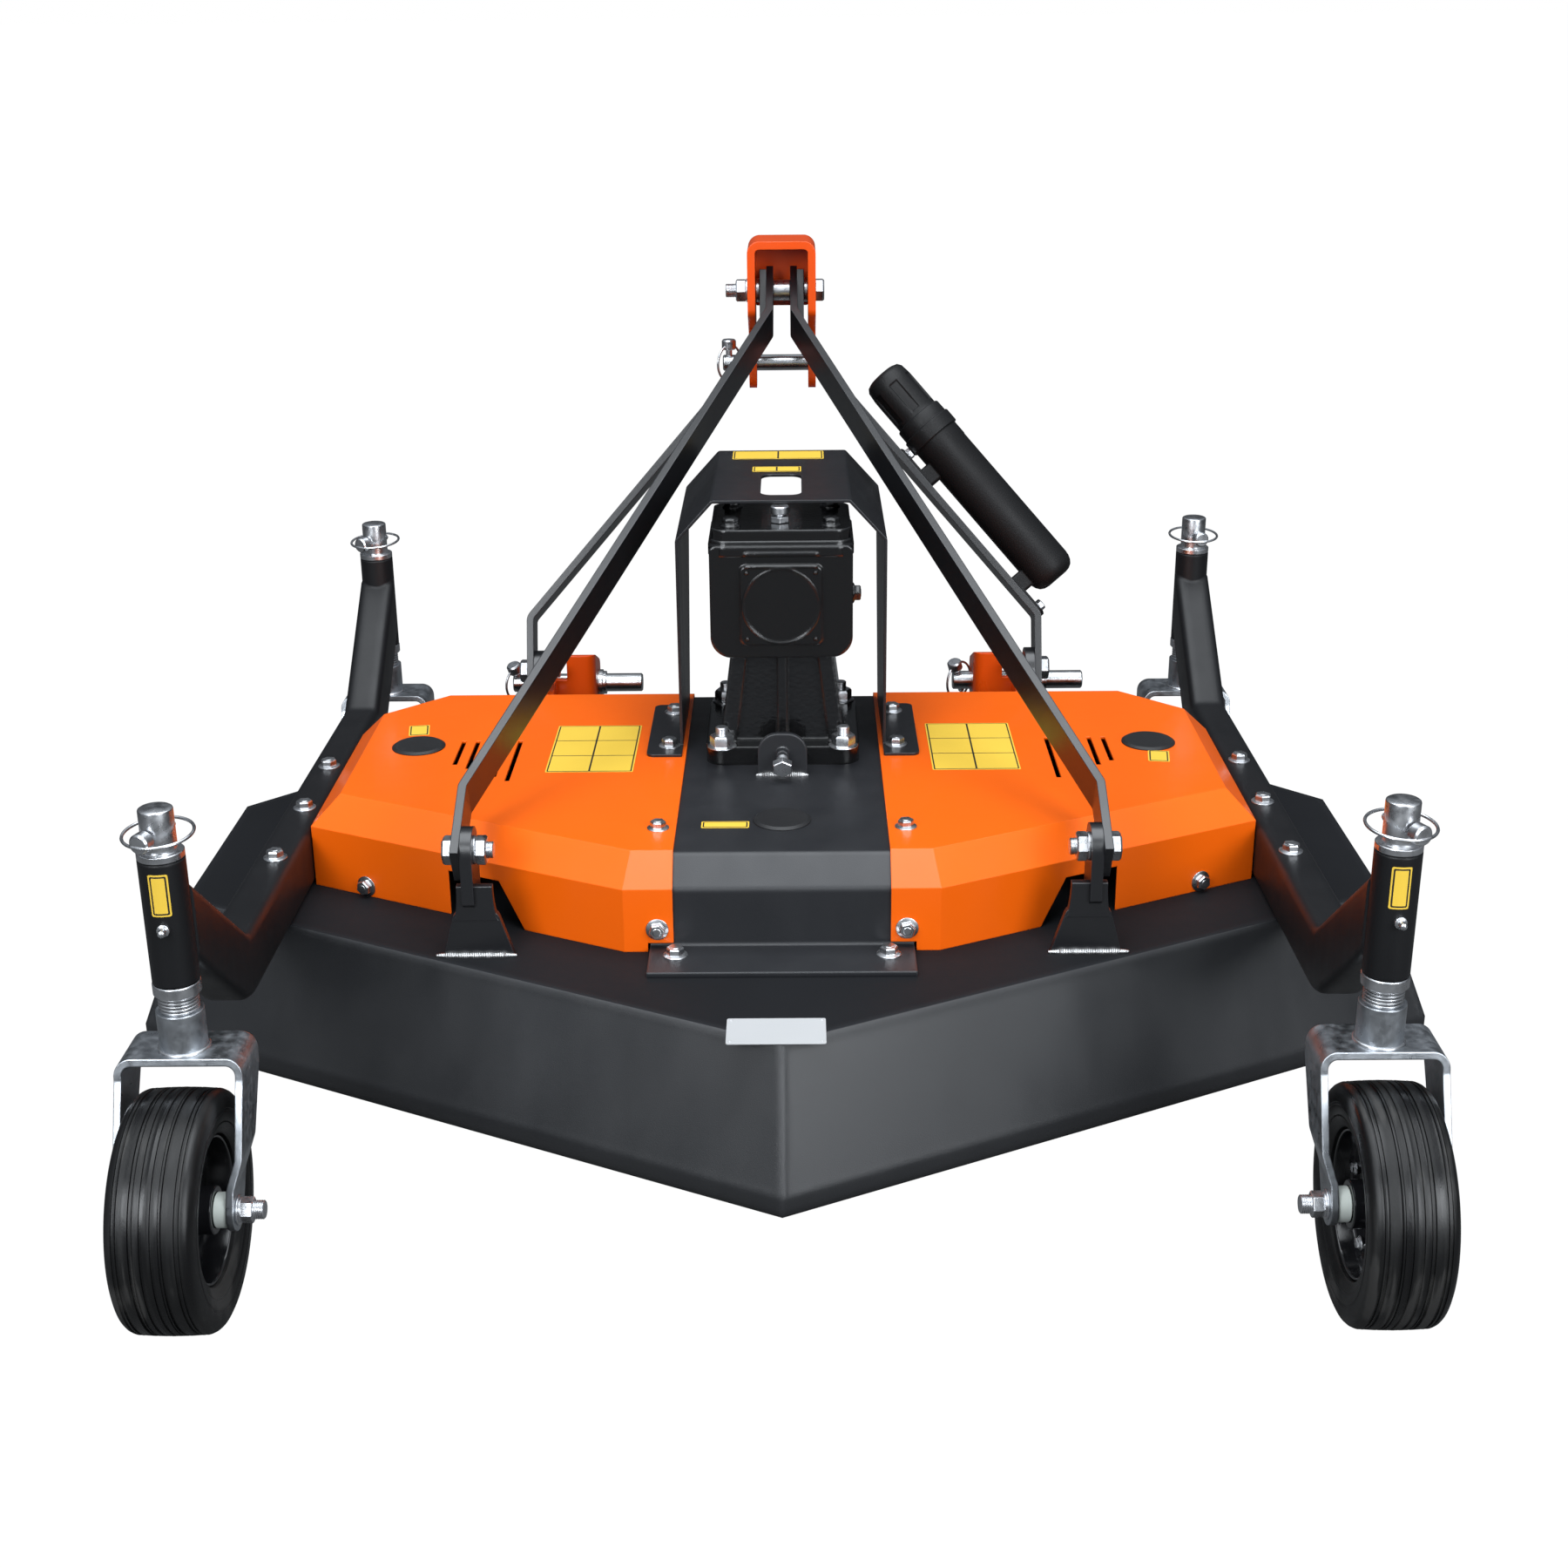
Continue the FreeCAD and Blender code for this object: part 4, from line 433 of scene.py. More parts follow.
def thread(radius, low, high, pitch=0.0013):
    """Profile of a screw thread with a bevelled end, for turning."""
    points = []
    while low < high - pitch:
        points += [(radius, low), (radius - pitch * 0.4, low + pitch / 2)]
        low += pitch
    return points + [(radius, high - 0.001), (radius - 0.001, high), (0, high)]


def hexagon_bolt(name, flats, height, flange, stud=0.0):
    """Head with a washer flange, its foot at the origin, or a nut with a threaded stud."""
    corner = flats / math.sqrt(3)
    bm = lathe(bmesh.new(), [(0, 0), (flange, 0), (flange, 0.0011), (corner * 0.97, 0.0024), (0, 0.0024)],
               steps=24)
    lathe(bm, [(0, 0.001), (corner, 0.001), (corner, height * 0.84), (corner * 0.88, height), (0, height)],
          steps=6)
    if stud:
        lathe(bm, [(0, height - 0.001)] + thread(flats * 0.3, height - 0.001, height + stud), steps=16)
    else:
        lathe(bm, [(0, height - 0.0004), (flats * 0.3, height - 0.0004), (flats * 0.27, height + 0.0004),
                   (0, height + 0.0006)], steps=16)
    bmesh.ops.recalc_face_normals(bm, faces=bm.faces)
    mesh = bpy.data.meshes.new(name)
    bm.to_mesh(mesh)
    bm.free()
    mesh.polygons.foreach_set("use_smooth", [True] * len(mesh.polygons))
    mesh.set_sharp_from_angle(angle=math.radians(32))
    pattern = bpy.data.objects.new(name, mesh)
    scene.collection.objects.link(pattern)
    pattern.hide_render = True
    return pattern


# Geometry Nodes tree that sets a fastener on every point, along the point's own direction
fastener_tree = bpy.data.node_groups.new("fasteners_in_place", "GeometryNodeTree")
face = fastener_tree.interface
face.new_socket("Geometry", in_out="INPUT", socket_type="NodeSocketGeometry")
fastener_input = face.new_socket("Fastener", in_out="INPUT", socket_type="NodeSocketObject").identifier
finish_input = face.new_socket("Finish", in_out="INPUT", socket_type="NodeSocketMaterial").identifier
size_input = face.new_socket("Size", in_out="INPUT", socket_type="NodeSocketFloat").identifier
face.new_socket("Geometry", in_out="OUTPUT", socket_type="NodeSocketGeometry")
put = fastener_tree.nodes.new
way_in, way_out = put("NodeGroupInput"), put("NodeGroupOutput")
pattern_info = put("GeometryNodeObjectInfo")
aim = put("GeometryNodeInputNamedAttribute")
aim.data_type = "FLOAT_VECTOR"
aim.inputs["Name"].default_value = "aim"
turn_up = put("FunctionNodeAlignRotationToVector")
turn_up.axis = "Z"
chance = put("FunctionNodeRandomValue")
chance.inputs["Seed"].default_value = 7
spin = put("FunctionNodeAxisAngleToRotation")
spin.inputs["Axis"].default_value = (0, 0, 1)
whole_turn = put("ShaderNodeMath")
whole_turn.operation = "MULTIPLY"
whole_turn.inputs[1].default_value = 2 * math.pi
twist = put("FunctionNodeRotateRotation")
twist.rotation_space = "LOCAL"
set_in = put("GeometryNodeInstanceOnPoints")
real = put("GeometryNodeRealizeInstances")
colour_it = put("GeometryNodeSetMaterial")
random_value = [s for s in chance.outputs if s.enabled][0]
for a, b in (
    (way_in.outputs["Geometry"], set_in.inputs["Points"]),
    (way_in.outputs["Fastener"], pattern_info.inputs["Object"]),
    (pattern_info.outputs["Geometry"], set_in.inputs["Instance"]),
    (aim.outputs["Attribute"], turn_up.inputs["Vector"]),
    (random_value, whole_turn.inputs[0]),
    (whole_turn.outputs[0], spin.inputs["Angle"]),
    (turn_up.outputs["Rotation"], twist.inputs["Rotation"]),
    (spin.outputs["Rotation"], twist.inputs["Rotate By"]),
    (twist.outputs["Rotation"], set_in.inputs["Rotation"]),
    (way_in.outputs["Size"], set_in.inputs["Scale"]),
    (set_in.outputs["Instances"], real.inputs["Geometry"]),
    (real.outputs["Geometry"], colour_it.inputs["Geometry"]),
    (way_in.outputs["Finish"], colour_it.inputs["Material"]),
    (colour_it.outputs["Geometry"], way_out.inputs["Geometry"]),
):
    fastener_tree.links.new(a, b)


def fastened(name, pattern, spots, body, finish=None, size=1.0):
    """Like fasteners at (point, direction) spots, made one plain mesh."""
    cloud = bpy.data.meshes.new(name + "_spots")
    cloud.from_pydata([point for point, direction in spots], [], [])
    aims = cloud.attributes.new("aim", "FLOAT_VECTOR", "POINT")
    aims.data.foreach_set("vector", [value for point, direction in spots for value in direction])
    carrier = bpy.data.objects.new(name + "_spots", cloud)
    scene.collection.objects.link(carrier)
    modifier = carrier.modifiers.new("fasteners", "NODES")
    modifier.node_group = fastener_tree
    modifier[fastener_input] = pattern
    modifier[finish_input] = finish or zinc
    modifier[size_input] = size
    seen = carrier.evaluated_get(bpy.context.evaluated_depsgraph_get())
    mesh = bpy.data.meshes.new_from_object(seen)
    bpy.data.objects.remove(carrier)
    mesh.name = name
    piece = bpy.data.objects.new(name, mesh)
    scene.collection.objects.link(piece)
    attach(piece, body)
    return piece


flanged_bolt = hexagon_bolt("pattern_flanged_bolt", 0.0145, 0.0085, 0.0115)
arm_top = arm_level + half_high
arm_spots = [((side * 0.488, y, arm_top - hair), (0, 0, 1)) for side in (-1, 1)
             for y in (-0.115, 0.015, 0.136)]
fastened("arm_bolts", flanged_bolt, arm_spots, "deck_frame")

# Greasing nipples on the posts
nipple = [(0, 0), (0.0052, 0), (0.0052, 0.003), (0.003, 0.0042), (0.0022, 0.0065), (0.0031, 0.008),
          (0.0029, 0.0098), (0.0015, 0.011), (0, 0.0112)]
nipple_level, label_level = 0.335, 0.364
bm = bmesh.new()
for side in (-1, 1):
    for y, out in ((post_rear, (0.06, -1, 0)), (post_front, (0, 1, 0))):
        out = Vector(out).normalized()
        on_post = Vector((side * post_x, y, nipple_level)) + out * (post_radius - 2 * hair)
        lathe(bm, nipple, frame_at(on_post, out), 12)
placed(bm, "greasing_nipples", "deck_frame", zinc)

vinyl = coated("yellow_vinyl", (0.74, 0.49, 0.055), 0.42, peel=0.02, edge=0.0002, cloud=0.04, wear_and_highlight=1.0,
               grit=400.0)
print_black = coated("printed_black", (0.015, 0.015, 0.015), 0.42, peel=0.02, edge=0.0002, cloud=0.04,
                     wear_and_highlight=1.0, grit=400.0)


def label(name, place, width, length, cells=(1, 1), bent=None):
    """Blank label: yellow film, a black rule round its edge and an empty yellow cell in each division.

    A bent label is wrapped round a tube of that radius."""
    border, rule, film_thick = 0.0030, 0.0018, 0.0003
    film, ruled = bmesh.new(), bmesh.new()
    slab(film, rounded(width, length, 0.0016), hair, film_thick)
    slab(ruled, rounded(width - border, length - border, 0.0012), 2 * hair, film_thick + hair)
    cell_x, cell_y = (width - border - 0.0008) / cells[0], (length - border - 0.0008) / cells[1]
    for i in range(cells[0]):
        for j in range(cells[1]):
            spot = Matrix.Translation(((i + 0.5) * cell_x - cell_x * cells[0] / 2,
                                       (j + 0.5) * cell_y - cell_y * cells[1] / 2, 0))
            cell = rounded(cell_x - rule, cell_y - rule, 0.0008)
            slab(film, cell, film_thick, film_thick + 2 * hair, spot)
    for bm, part, finish in ((film, "film", vinyl), (ruled, "rule", print_black)):
        if bent:
            wide = [e for e in bm.edges if abs(e.verts[0].co.x - e.verts[1].co.x) > 0.004]
            bmesh.ops.subdivide_edges(bm, edges=wide, cuts=5)
            bmesh.ops.triangulate(bm, faces=[f for f in bm.faces if len(f.verts) > 4])
            for v in bm.verts:
                turn = v.co.x / bent
                v.co.x, v.co.z = (bent + v.co.z) * math.sin(turn), (bent + v.co.z) * math.cos(turn) - bent
        bmesh.ops.transform(bm, matrix=place, verts=bm.verts)
        placed(bm, name + "_" + part, "deck_frame", finish=finish)


for side, tag in ((-1, "left"), (1, "right")):
    out = Vector((0.06 * -side, -1, 0)).normalized()
    spot = Vector((side * post_x, post_rear, label_level)) + out * post_radius
    label("post_label_" + tag, frame_at(spot, out), 0.016, 0.036, bent=post_radius)


# Casters: a ribbed solid tyre on a dished rim, its axle bolt and nylon bushes in a zinc-plated fork,
# and a pivot pin with washers that a lynch pin holds in the post. Four alike; the axle nuts face inwards.
def ring(bm, place, radius, wire, steps=48):
    """Closed round ring of wire about the place's Z."""
    turns = [2 * math.pi * k / 8 for k in range(8)]
    section = [(radius + wire * math.cos(a), wire * math.sin(a)) for a in turns]
    return lathe(bm, section, place, steps, closed=True)


def lynch_pin(bm, place, shank, hoop, tilt):
    """Knob, shank and wire ring; the place's origin is on the locked pin, its Z points out to the knob."""
    knob = [(0, 0.016), (0.0072, 0.016), (0.0086, 0.0178), (0.0086, 0.0262), (0.0072, 0.028), (0, 0.0283)]
    lathe(bm, knob, place, 24)
    lathe(bm, [(0, -shank), (0.0026, -shank), (0.0038, -shank + 0.0025), (0.0038, 0.017)], place, 16)
    upright = Matrix.Rotation(math.radians(90), 4, "X") @ Matrix.Rotation(math.radians(tilt), 4, "X")
    ring(bm, place @ upright, hoop, 0.0014)


rubber = bpy.data.materials.new("tyre_rubber")
rubber.use_nodes = True
tree = rubber.node_tree
shader = tree.nodes["Principled BSDF"]
smear = noise_on(tree, 1.0, 5.0, (150, 9, 9))
dust = noise_on(tree, 16.0, 3.0)
both = tree.nodes.new("ShaderNodeMath")
both.operation = "MULTIPLY"
tree.links.new(smear, both.inputs[0])
tree.links.new(dust, both.inputs[1])
tree.links.new(ramp_of(tree, both.outputs[0], [(0.2, (0.003, 0.003, 0.0033)), (0.29, (0.006, 0.006, 0.006)),
                                               (0.36, (0.028, 0.027, 0.026))]), shader.inputs["Base Color"])
tree.links.new(ramp_of(tree, smear, [(0.35, 0.24), (0.62, 0.52)]), shader.inputs["Roughness"])
shader.inputs["Specular IOR Level"].default_value = 0.36
bump = tree.nodes.new("ShaderNodeBump")
bump.inputs["Strength"].default_value = 0.16
bump.inputs["Distance"].default_value = 0.0005
tree.links.new(noise_on(tree, 420.0, 3.0), bump.inputs["Height"])
tree.links.new(bump.outputs["Normal"], shader.inputs["Normal"])

rim_paint = coated("gloss_rim_black", (0.006, 0.006, 0.007), 0.16, peel=0.05, edge=0.0006, coat=0.4,
                   cloud=0.1)
nylon = coated("nylon_bush", (0.56, 0.6, 0.56), 0.5, peel=0.05, edge=0.0008, cloud=0.08, wear_and_highlight=1.0)
fork_zinc = bare_metal("fork_zinc", (0.5, 0.525, 0.555), 0.36, brushed=0.12, edge=0.0016)

# Right half of the tyre's section from the bead to the middle of the tread, grooves cut in
tread = [(0.0622, 0.0255), (0.0622, 0.0282), (0.064, 0.0303), (0.070, 0.0322), (0.0708, 0.0330),
         (0.0722, 0.0330), (0.0732, 0.0338), (0.080, 0.0348), (0.0808, 0.0342), (0.0822, 0.0342),
         (0.083, 0.035), (0.0895, 0.0349), (0.0930, 0.0342), (0.0958, 0.0328), (0.0975, 0.0309),
         (0.0986, 0.0285)]
for groove, half, depth in ((0.0262, 0.0007, 0.0011), (0.0228, 0.0008, 0.0013), (0.0128, 0.0009, 0.0016),
                            (0.0101, 0.0005, 0.0009), (0.0042, 0.0008, 0.0012)):
    crown = 0.0999 - (groove / 0.026) ** 2 * 0.0009
    tread += [(crown, groove + half * 1.5), (crown - depth, groove + half), (crown - depth, groove - half),
              (crown, groove - half * 1.5)]
tread += [(0.0999, 0.0007), (0.1, 0.0004), (0.1, 0.0)]
tyre_section = tread + [(radius, -across) for radius, across in reversed(tread[:-1])]

rim_half = [(0.062, 0.0), (0.062, 0.0236), (0.0616, 0.0252), (0.0603, 0.0262), (0.0588, 0.0258),
            (0.0582, 0.0244)]
rim_section = rim_half + [
    (0.0585, 0.002), (0.0575, -0.0022), (0.0560, -0.0030), (0.0490, -0.0030), (0.0400, 0.0024),
    (0.0385, 0.0030), (0.0235, 0.0030), (0.0212, 0.0042), (0.0200, 0.0060), (0.0200, 0.0275),
    (0.0192, 0.0283), (0.0150, 0.0283), (0.0150, -0.0283), (0.0192, -0.0283), (0.0200, -0.0275),
    (0.0200, -0.0050), (0.0212, -0.0034), (0.0235, -0.0030), (0.0385, -0.0030), (0.0400, -0.0036),
    (0.0490, -0.0090), (0.0560, -0.0090), (0.0575, -0.0098), (0.0585, -0.0120),
] + [(radius, -across) for radius, across in reversed(rim_half[1:])]
rim_bolt = hexagon_bolt("pattern_rim_bolt", 0.0080, 0.0046, 0.0062)

pin_parts = [
    [(0.0080, 0.256), (0.0080, 0.271)],
    [(0.0080, 0.2712), (0.0185, 0.2712), (0.0195, 0.2722), (0.0195, 0.2806), (0.0187, 0.2815),
     (0.0080, 0.2815)],
    [(0.0080, 0.3903), (0.0184, 0.3903), (0.0190, 0.3909), (0.0190, 0.3956), (0.0184, 0.3962),
     (0.0080, 0.3962)],
    [(0.01395, 0.3955), (0.01395, 0.4302), (0.0136, 0.4312), (0.0124, 0.4320), (0, 0.4320)],
]
for k in range(5):
    low = 0.2561 + k * 0.00302
    pin_parts.append([(0.0080, low), (0.0158, low), (0.0165, low + 0.0006), (0.0165, low + 0.0019),
                      (0.0158, low + 0.0025), (0.0080, low + 0.0025)])

# Each caster by its corner, with the turn of its lynch pin in degrees
casters = {"rear_left": -18, "rear_right": 24, "front_left": -30, "front_right": 12}
for tag, knob_turn in casters.items():
    post_place = joint_at["caster_swivel_" + tag]
    hub = Matrix.Translation(joint_at["wheel_spin_" + tag]) @ Matrix.Rotation(math.radians(90), 4, "Y")
    tyre = placed(lathe(bmesh.new(), tyre_section, hub, 112, closed=True), "tyre_" + tag + "_ribbed",
                  "wheel_" + tag, rubber, smooth=38)
    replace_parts(tyre, "tyre_" + tag)
    rim = placed(lathe(bmesh.new(), rim_section, hub, 72, closed=True), "rim_" + tag + "_dished",
                 "wheel_" + tag, rim_paint)
    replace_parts(rim, "wheel_rim_" + tag)
    spots = []
    bolt_circle = 0.0525
    for k in range(5):
        a = math.radians(72 * k + 20)
        for level, way in ((-0.003, 1), (-0.009, -1)):
            point = hub @ Vector((bolt_circle * math.cos(a), bolt_circle * math.sin(a), level))
            spots.append((tuple(point), (way, 0, 0)))
    fastened("rim_bolts_" + tag, rim_bolt, spots, "wheel_" + tag)

    # Axle bolt, its washers and nut; the bushes either side of the hub
    nut_turn = 0 if post_place[0] < 0 else 180
    out = hub @ Matrix.Rotation(math.radians(nut_turn), 4, "X")
    bm = lathe(bmesh.new(), [(0.0079, -0.047), (0.0079, 0.048)], out, 24)
    for low, high, radius in ((0.046, 0.0478, 0.0125), (0.0478, 0.0494, 0.0105), (-0.0478, -0.046, 0.0125)):
        lathe(bm, [(0.0070, low), (radius - 0.0004, low), (radius, low + 0.0005), (radius, high - 0.0005),
                   (radius - 0.0004, high), (0.0070, high)], out, 28)
    lathe(bm, [(0.0070, 0.0494), (0.0100, 0.0494), (0.0110, 0.0504), (0.0110, 0.0582), (0.0100, 0.0592),
               (0.0070, 0.0592)], out, 6)
    lathe(bm, thread(0.0079, 0.0580, 0.0680, 0.0015), out, 20)
    lathe(bm, [(0, -0.0555), (0.0094, -0.0555), (0.0110, -0.0545), (0.0110, -0.0478), (0.0070, -0.0478)],
          out, 6)
    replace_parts(placed(bm, "axle_" + tag + "_bolted", "caster_" + tag, zinc), "wheel_axle_" + tag)
    bm = bmesh.new()
    for low, high in ((0.0285, 0.0398), (-0.0398, -0.0285)):
        lathe(bm, [(0.0079, low), (0.0141, low), (0.0147, low + 0.0006), (0.0147, high - 0.0006),
                   (0.0141, high), (0.0079, high)], hub, 28)
    placed(bm, "axle_bushes_" + tag, "caster_" + tag, finish=nylon)

    # Pivot pin with its washers, the weld round the collar's foot, and the lynch pin
    stand = Matrix.Translation((post_place[0], post_place[1], 0))
    bm = bmesh.new()
    for profile in pin_parts:
        lathe(bm, profile, stand, 40)
    ring(bm, stand @ Matrix.Translation((0, 0, 0.2216)), 0.0200, 0.0017, 56)
    crosswise = Matrix.Rotation(math.radians(knob_turn), 4, "Z") @ Matrix.Rotation(math.radians(90), 4, "X")
    lynch_pin(bm, stand @ Matrix.Translation((0, 0, 0.4105)) @ crosswise, 0.021, 0.0280, 5)
    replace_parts(placed(bm, "pivot_" + tag + "_pinned", "caster_" + tag, zinc),
                "caster_pivot_" + tag)
dress(["caster_fork_" + tag for tag in casters], fork_zinc)


# Under the deck: three spindle housings of rough black casting, bolted up to the pan, and three blades
# of flat bar with a dark oxide finish, clamped under the spindles.
casting = coated("rough_black_casting", (0.014, 0.014, 0.014), 0.5, peel=0.7, edge=0.002, cloud=0.2,
                 grit=320.0)
blade_finish = bare_metal("oxidised_blade", (0.13, 0.125, 0.12), 0.42, brushed=0.1, edge=0.0012)
dress(["spindle_housings"], casting)
dress(["blade_left", "blade_centre", "blade_right"], blade_finish)


# Centre bridge: bent plate over the belt with a bolted rear foot; on it the tensioner's tab, welded down,
# with the head of its zinc-plated adjusting bolt to the rear.
bridge_paint = coated("bridge_powder_coat", (0.012, 0.0127, 0.015), 0.44, peel=0.12, edge=0.003, cloud=0.1,
                      shine=0.55)
dress(["centre_bridge", "belt_tensioner"], bridge_paint)
bridge_top, bridge_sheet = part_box("centre_bridge")[1].z, 0.005
foot_top = deck_top + bridge_sheet
bridge_spots = [((x, -0.222, foot_top - hair), (0, 0, 1)) for x in (-0.0985, 0.0985)]
fastened("bridge_bolts", flanged_bolt, bridge_spots, "deck_frame")
weld_metal = bare_metal("weld_bead", (0.5, 0.5, 0.5), 0.34, brushed=0.2, edge=0.0004)


def weld(bm, start, end, radius):
    """Rippled bead from point to point."""
    run = Vector(end) - Vector(start)
    count = int(run.length / 0.0007)
    profile = [(0, 0)]
    for k in range(count + 1):
        along = run.length * k / count
        taper = min(1, 0.35 + 4 * min(along, run.length - along) / run.length)
        ripple = 0.86 + 0.09 * math.sin(k * 2.1) + 0.07 * math.sin(k * 0.37 + 1)
        profile.append((radius * taper * ripple, along))
    lathe(bm, profile + [(0, run.length)], frame_at(start, run, (0, 0.3, 1)), 14)


bm = bmesh.new()
tab_weld, lug_weld = bridge_top + 0.0004, deck_top + 0.0012
weld(bm, (-0.027, 0.0255, tab_weld), (0.026, 0.0250, tab_weld), 0.0045)
for side in (-1, 1):
    weld(bm, (side * 0.2465, -0.2120, lug_weld), (side * 0.3215, -0.2120, lug_weld), 0.0042)
placed(bm, "weld_beads", "deck_frame", weld_metal, smooth=60)
adjuster = frame_at((0, 0.027, 0.302), (0, -1, -0.4))
bm = lathe(bmesh.new(), [(0, -0.012), (0.0062, -0.012), (0.0062, 0.0190)], adjuster, 20)
lathe(bm, [(0.0062, 0.0175), (0.0098, 0.0175), (0.0110, 0.0185), (0.0110, 0.0250), (0.0098, 0.0260),
           (0, 0.0262)], adjuster, 6)
placed(bm, "tensioner_bolt", "deck_frame", zinc)

# Belt covers: bright orange folded sheet with vent slots, held by flanged bolts, with black plastic caps
# over the spindles and blank yellow labels.
cover_paint = coated("cover_orange", (0.8, 0.112, 0.002), 0.34, peel=0.02, edge=0.0016, coat=0.12,
                     cloud=0.02, wear_and_highlight=1.1, grit=500.0, shine=0.3)
cap_plastic = coated("cap_plastic", (0.012, 0.012, 0.013), 0.5, peel=0.3, edge=0.001, cloud=0.1, grit=700.0)
dress(["belt_cover_left", "belt_cover_right"], cover_paint)
dress(["spindle_caps"], cap_plastic)
cover_rear, cover_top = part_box("belt_cover_left")[0].y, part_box("belt_cover_left")[1].z
spots = []
for side in (-1, 1):
    spots += [((side * 0.118, -0.122, cover_top - hair), (0, 0, 1)),
              ((side * 0.116, cover_rear + hair, 0.213), (0, -1, 0)),
              ((side * 0.412, -0.0714, 0.2005), (side * 0.447, -0.894, 0))]
fastened("cover_bolts", flanged_bolt, spots, "deck_frame", size=0.92)
on_cover = cover_top + hair
for side, tag, x, y in ((-1, "left", -0.393, 0.161), (1, "right", 0.389, 0.066)):
    label("cover_label_" + tag, Matrix.Translation((side * 0.198, 0.101, on_cover)), 0.090, 0.142, (2, 3))
    askew = Matrix.Rotation(math.radians(-8 * side), 4, "Z")
    label("cap_label_" + tag, Matrix.Translation((x, y, on_cover)) @ askew, 0.022, 0.032)
label("bridge_label", Matrix.Translation((-0.0545, -0.108, bridge_top + 2 * hair)), 0.046, 0.0165)


# Gearbox: glossy black paint over a sand casting, a flange round its cover with four black bolts,
# a plated breather, a round bearing cap on the square boss, and plated nuts on the foot's studs.
gear_paint = coated("gearbox_gloss", (0.003, 0.003, 0.0033), 0.25, peel=0.3, edge=0.0042, coat=0.9,
                    cloud=0.15, wear_and_highlight=1.4, grit=240.0, shine=0.22)
dress(["gearbox_housing", "gearbox_cover"], gear_paint)
shaft_level = joint_at["input_shaft_spin"][2]
case_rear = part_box("gearbox_housing")[0].y
lid_low, lid_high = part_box("gearbox_cover")
lid_middle, lid_foot, lid_top = (lid_low.y + lid_high.y) / 2, lid_low.z, lid_high.z
case_top = Matrix.Translation((0, lid_middle, lid_foot))
bm = slab(bmesh.new(), rounded(0.1466, 0.1256, 0.018, 8), -0.0108, 0.0002, case_top, ease=0.0012)
slab(bm, rounded(0.1430, 0.1220, 0.017, 8), 0, 0.0052, case_top, ease=0.001)
boss = frame_at((0, case_rear, shaft_level), (0, -1, 0))
lathe(bm, [(0.0400, -0.001), (0.0400, 0.0008), (0.0392, 0.0014), (0.0380, 0.0014), (0.0374, 0.0004),
           (0, 0.0004)], boss, 56)
# Two ribs of the casting above the boss
for level, rib_y in ((0.4885, case_rear + 0.0005), (0.5000, case_rear + 0.0058)):
    lathe(bm, [(0, -0.037), (0.0016, -0.0365), (0.0022, -0.034), (0.0022, 0.034), (0.0016, 0.0365),
               (0, 0.037)],
          frame_at((0, rib_y, level), (1, 0, 0)), 12)
placed(bm, "gearbox_flange", "deck_frame", gear_paint, smooth=30)
lid_bolt = hexagon_bolt("pattern_lid_bolt", 0.0150, 0.0085, 0.0105)
lid_spots = [((side * 0.0505, y, lid_top - hair), (0, 0, 1)) for side in (-1, 1) for y in (0.083, 0.164)]
fastened("lid_bolts", lid_bolt, lid_spots + [((0.0719, 0.082, 0.454), (1, 0, 0))], "deck_frame",
         gear_paint)
screw_reach = 0.0345
boss_spots = [(tuple(boss @ Vector((x, y, -2 * hair))), (0, -1, 0)) for x in (-screw_reach, screw_reach)
              for y in (-screw_reach, screw_reach)]
fastened("boss_screws", lid_bolt, boss_spots, "deck_frame", gear_paint, 0.24)
foot_nut = hexagon_bolt("pattern_foot_nut", 0.0215, 0.0130, 0.0150, stud=0.0085)
case_foot = 0.020
nut_level = bridge_top + case_foot - hair
fastened("gearbox_nuts", foot_nut, [((side * 0.0625, y, nut_level), (0, 0, 1)) for side in (-1, 1)
                                    for y in (0.0585, 0.2055)], "deck_frame")
breather = Matrix.Translation((-0.001, 0.098, lid_top - hair))
bm = lathe(bmesh.new(), [(0, 0), (0.0085, 0), (0.0100, 0.0008), (0.0100, 0.0062), (0.0085, 0.0070),
                         (0, 0.0070)], breather, 6)
lathe(bm, [(0, 0.0068), (0.0052, 0.0068), (0.0052, 0.0090), (0.0088, 0.0094), (0.0094, 0.0102),
           (0.0094, 0.0160), (0.0084, 0.0170), (0, 0.0172)], breather, 24)
placed(bm, "breather", "deck_frame", zinc)

# Input shaft: machined steel with six splines, standing forward out of the gearbox's bearing so that
# a driveshaft can be slid on.
machined = bare_metal("machined_steel", (0.5, 0.5, 0.51), 0.24, brushed=0.2)
root, crest, journal = 0.0147, 0.0174, 0.0200
spline = ((-21, root), (-13.5, root), (-12.5, crest), (12.5, crest), (13.5, root), (21, root))
splines = []
for k in range(6):
    for turn, radius in spline:
        a = math.radians(60 * k + turn)
        splines.append((radius * math.cos(a), radius * math.sin(a)))
axis = frame_at((0, 0, shaft_level), (0, 1, 0))
shaft_rear, shaft_front = [corner.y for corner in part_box("input_shaft")]
journal_end = 0.2300
bm = slab(bmesh.new(), splines, journal_end - 0.0005, shaft_front, axis, ease=0.0012)
lathe(bm, [(0, shaft_rear), (journal, shaft_rear), (journal, journal_end - 0.001),
           (journal - 0.001, journal_end), (0, journal_end)], axis, 48)
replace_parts(placed(bm, "input_shaft_splined", "input_shaft", machined), "input_shaft")

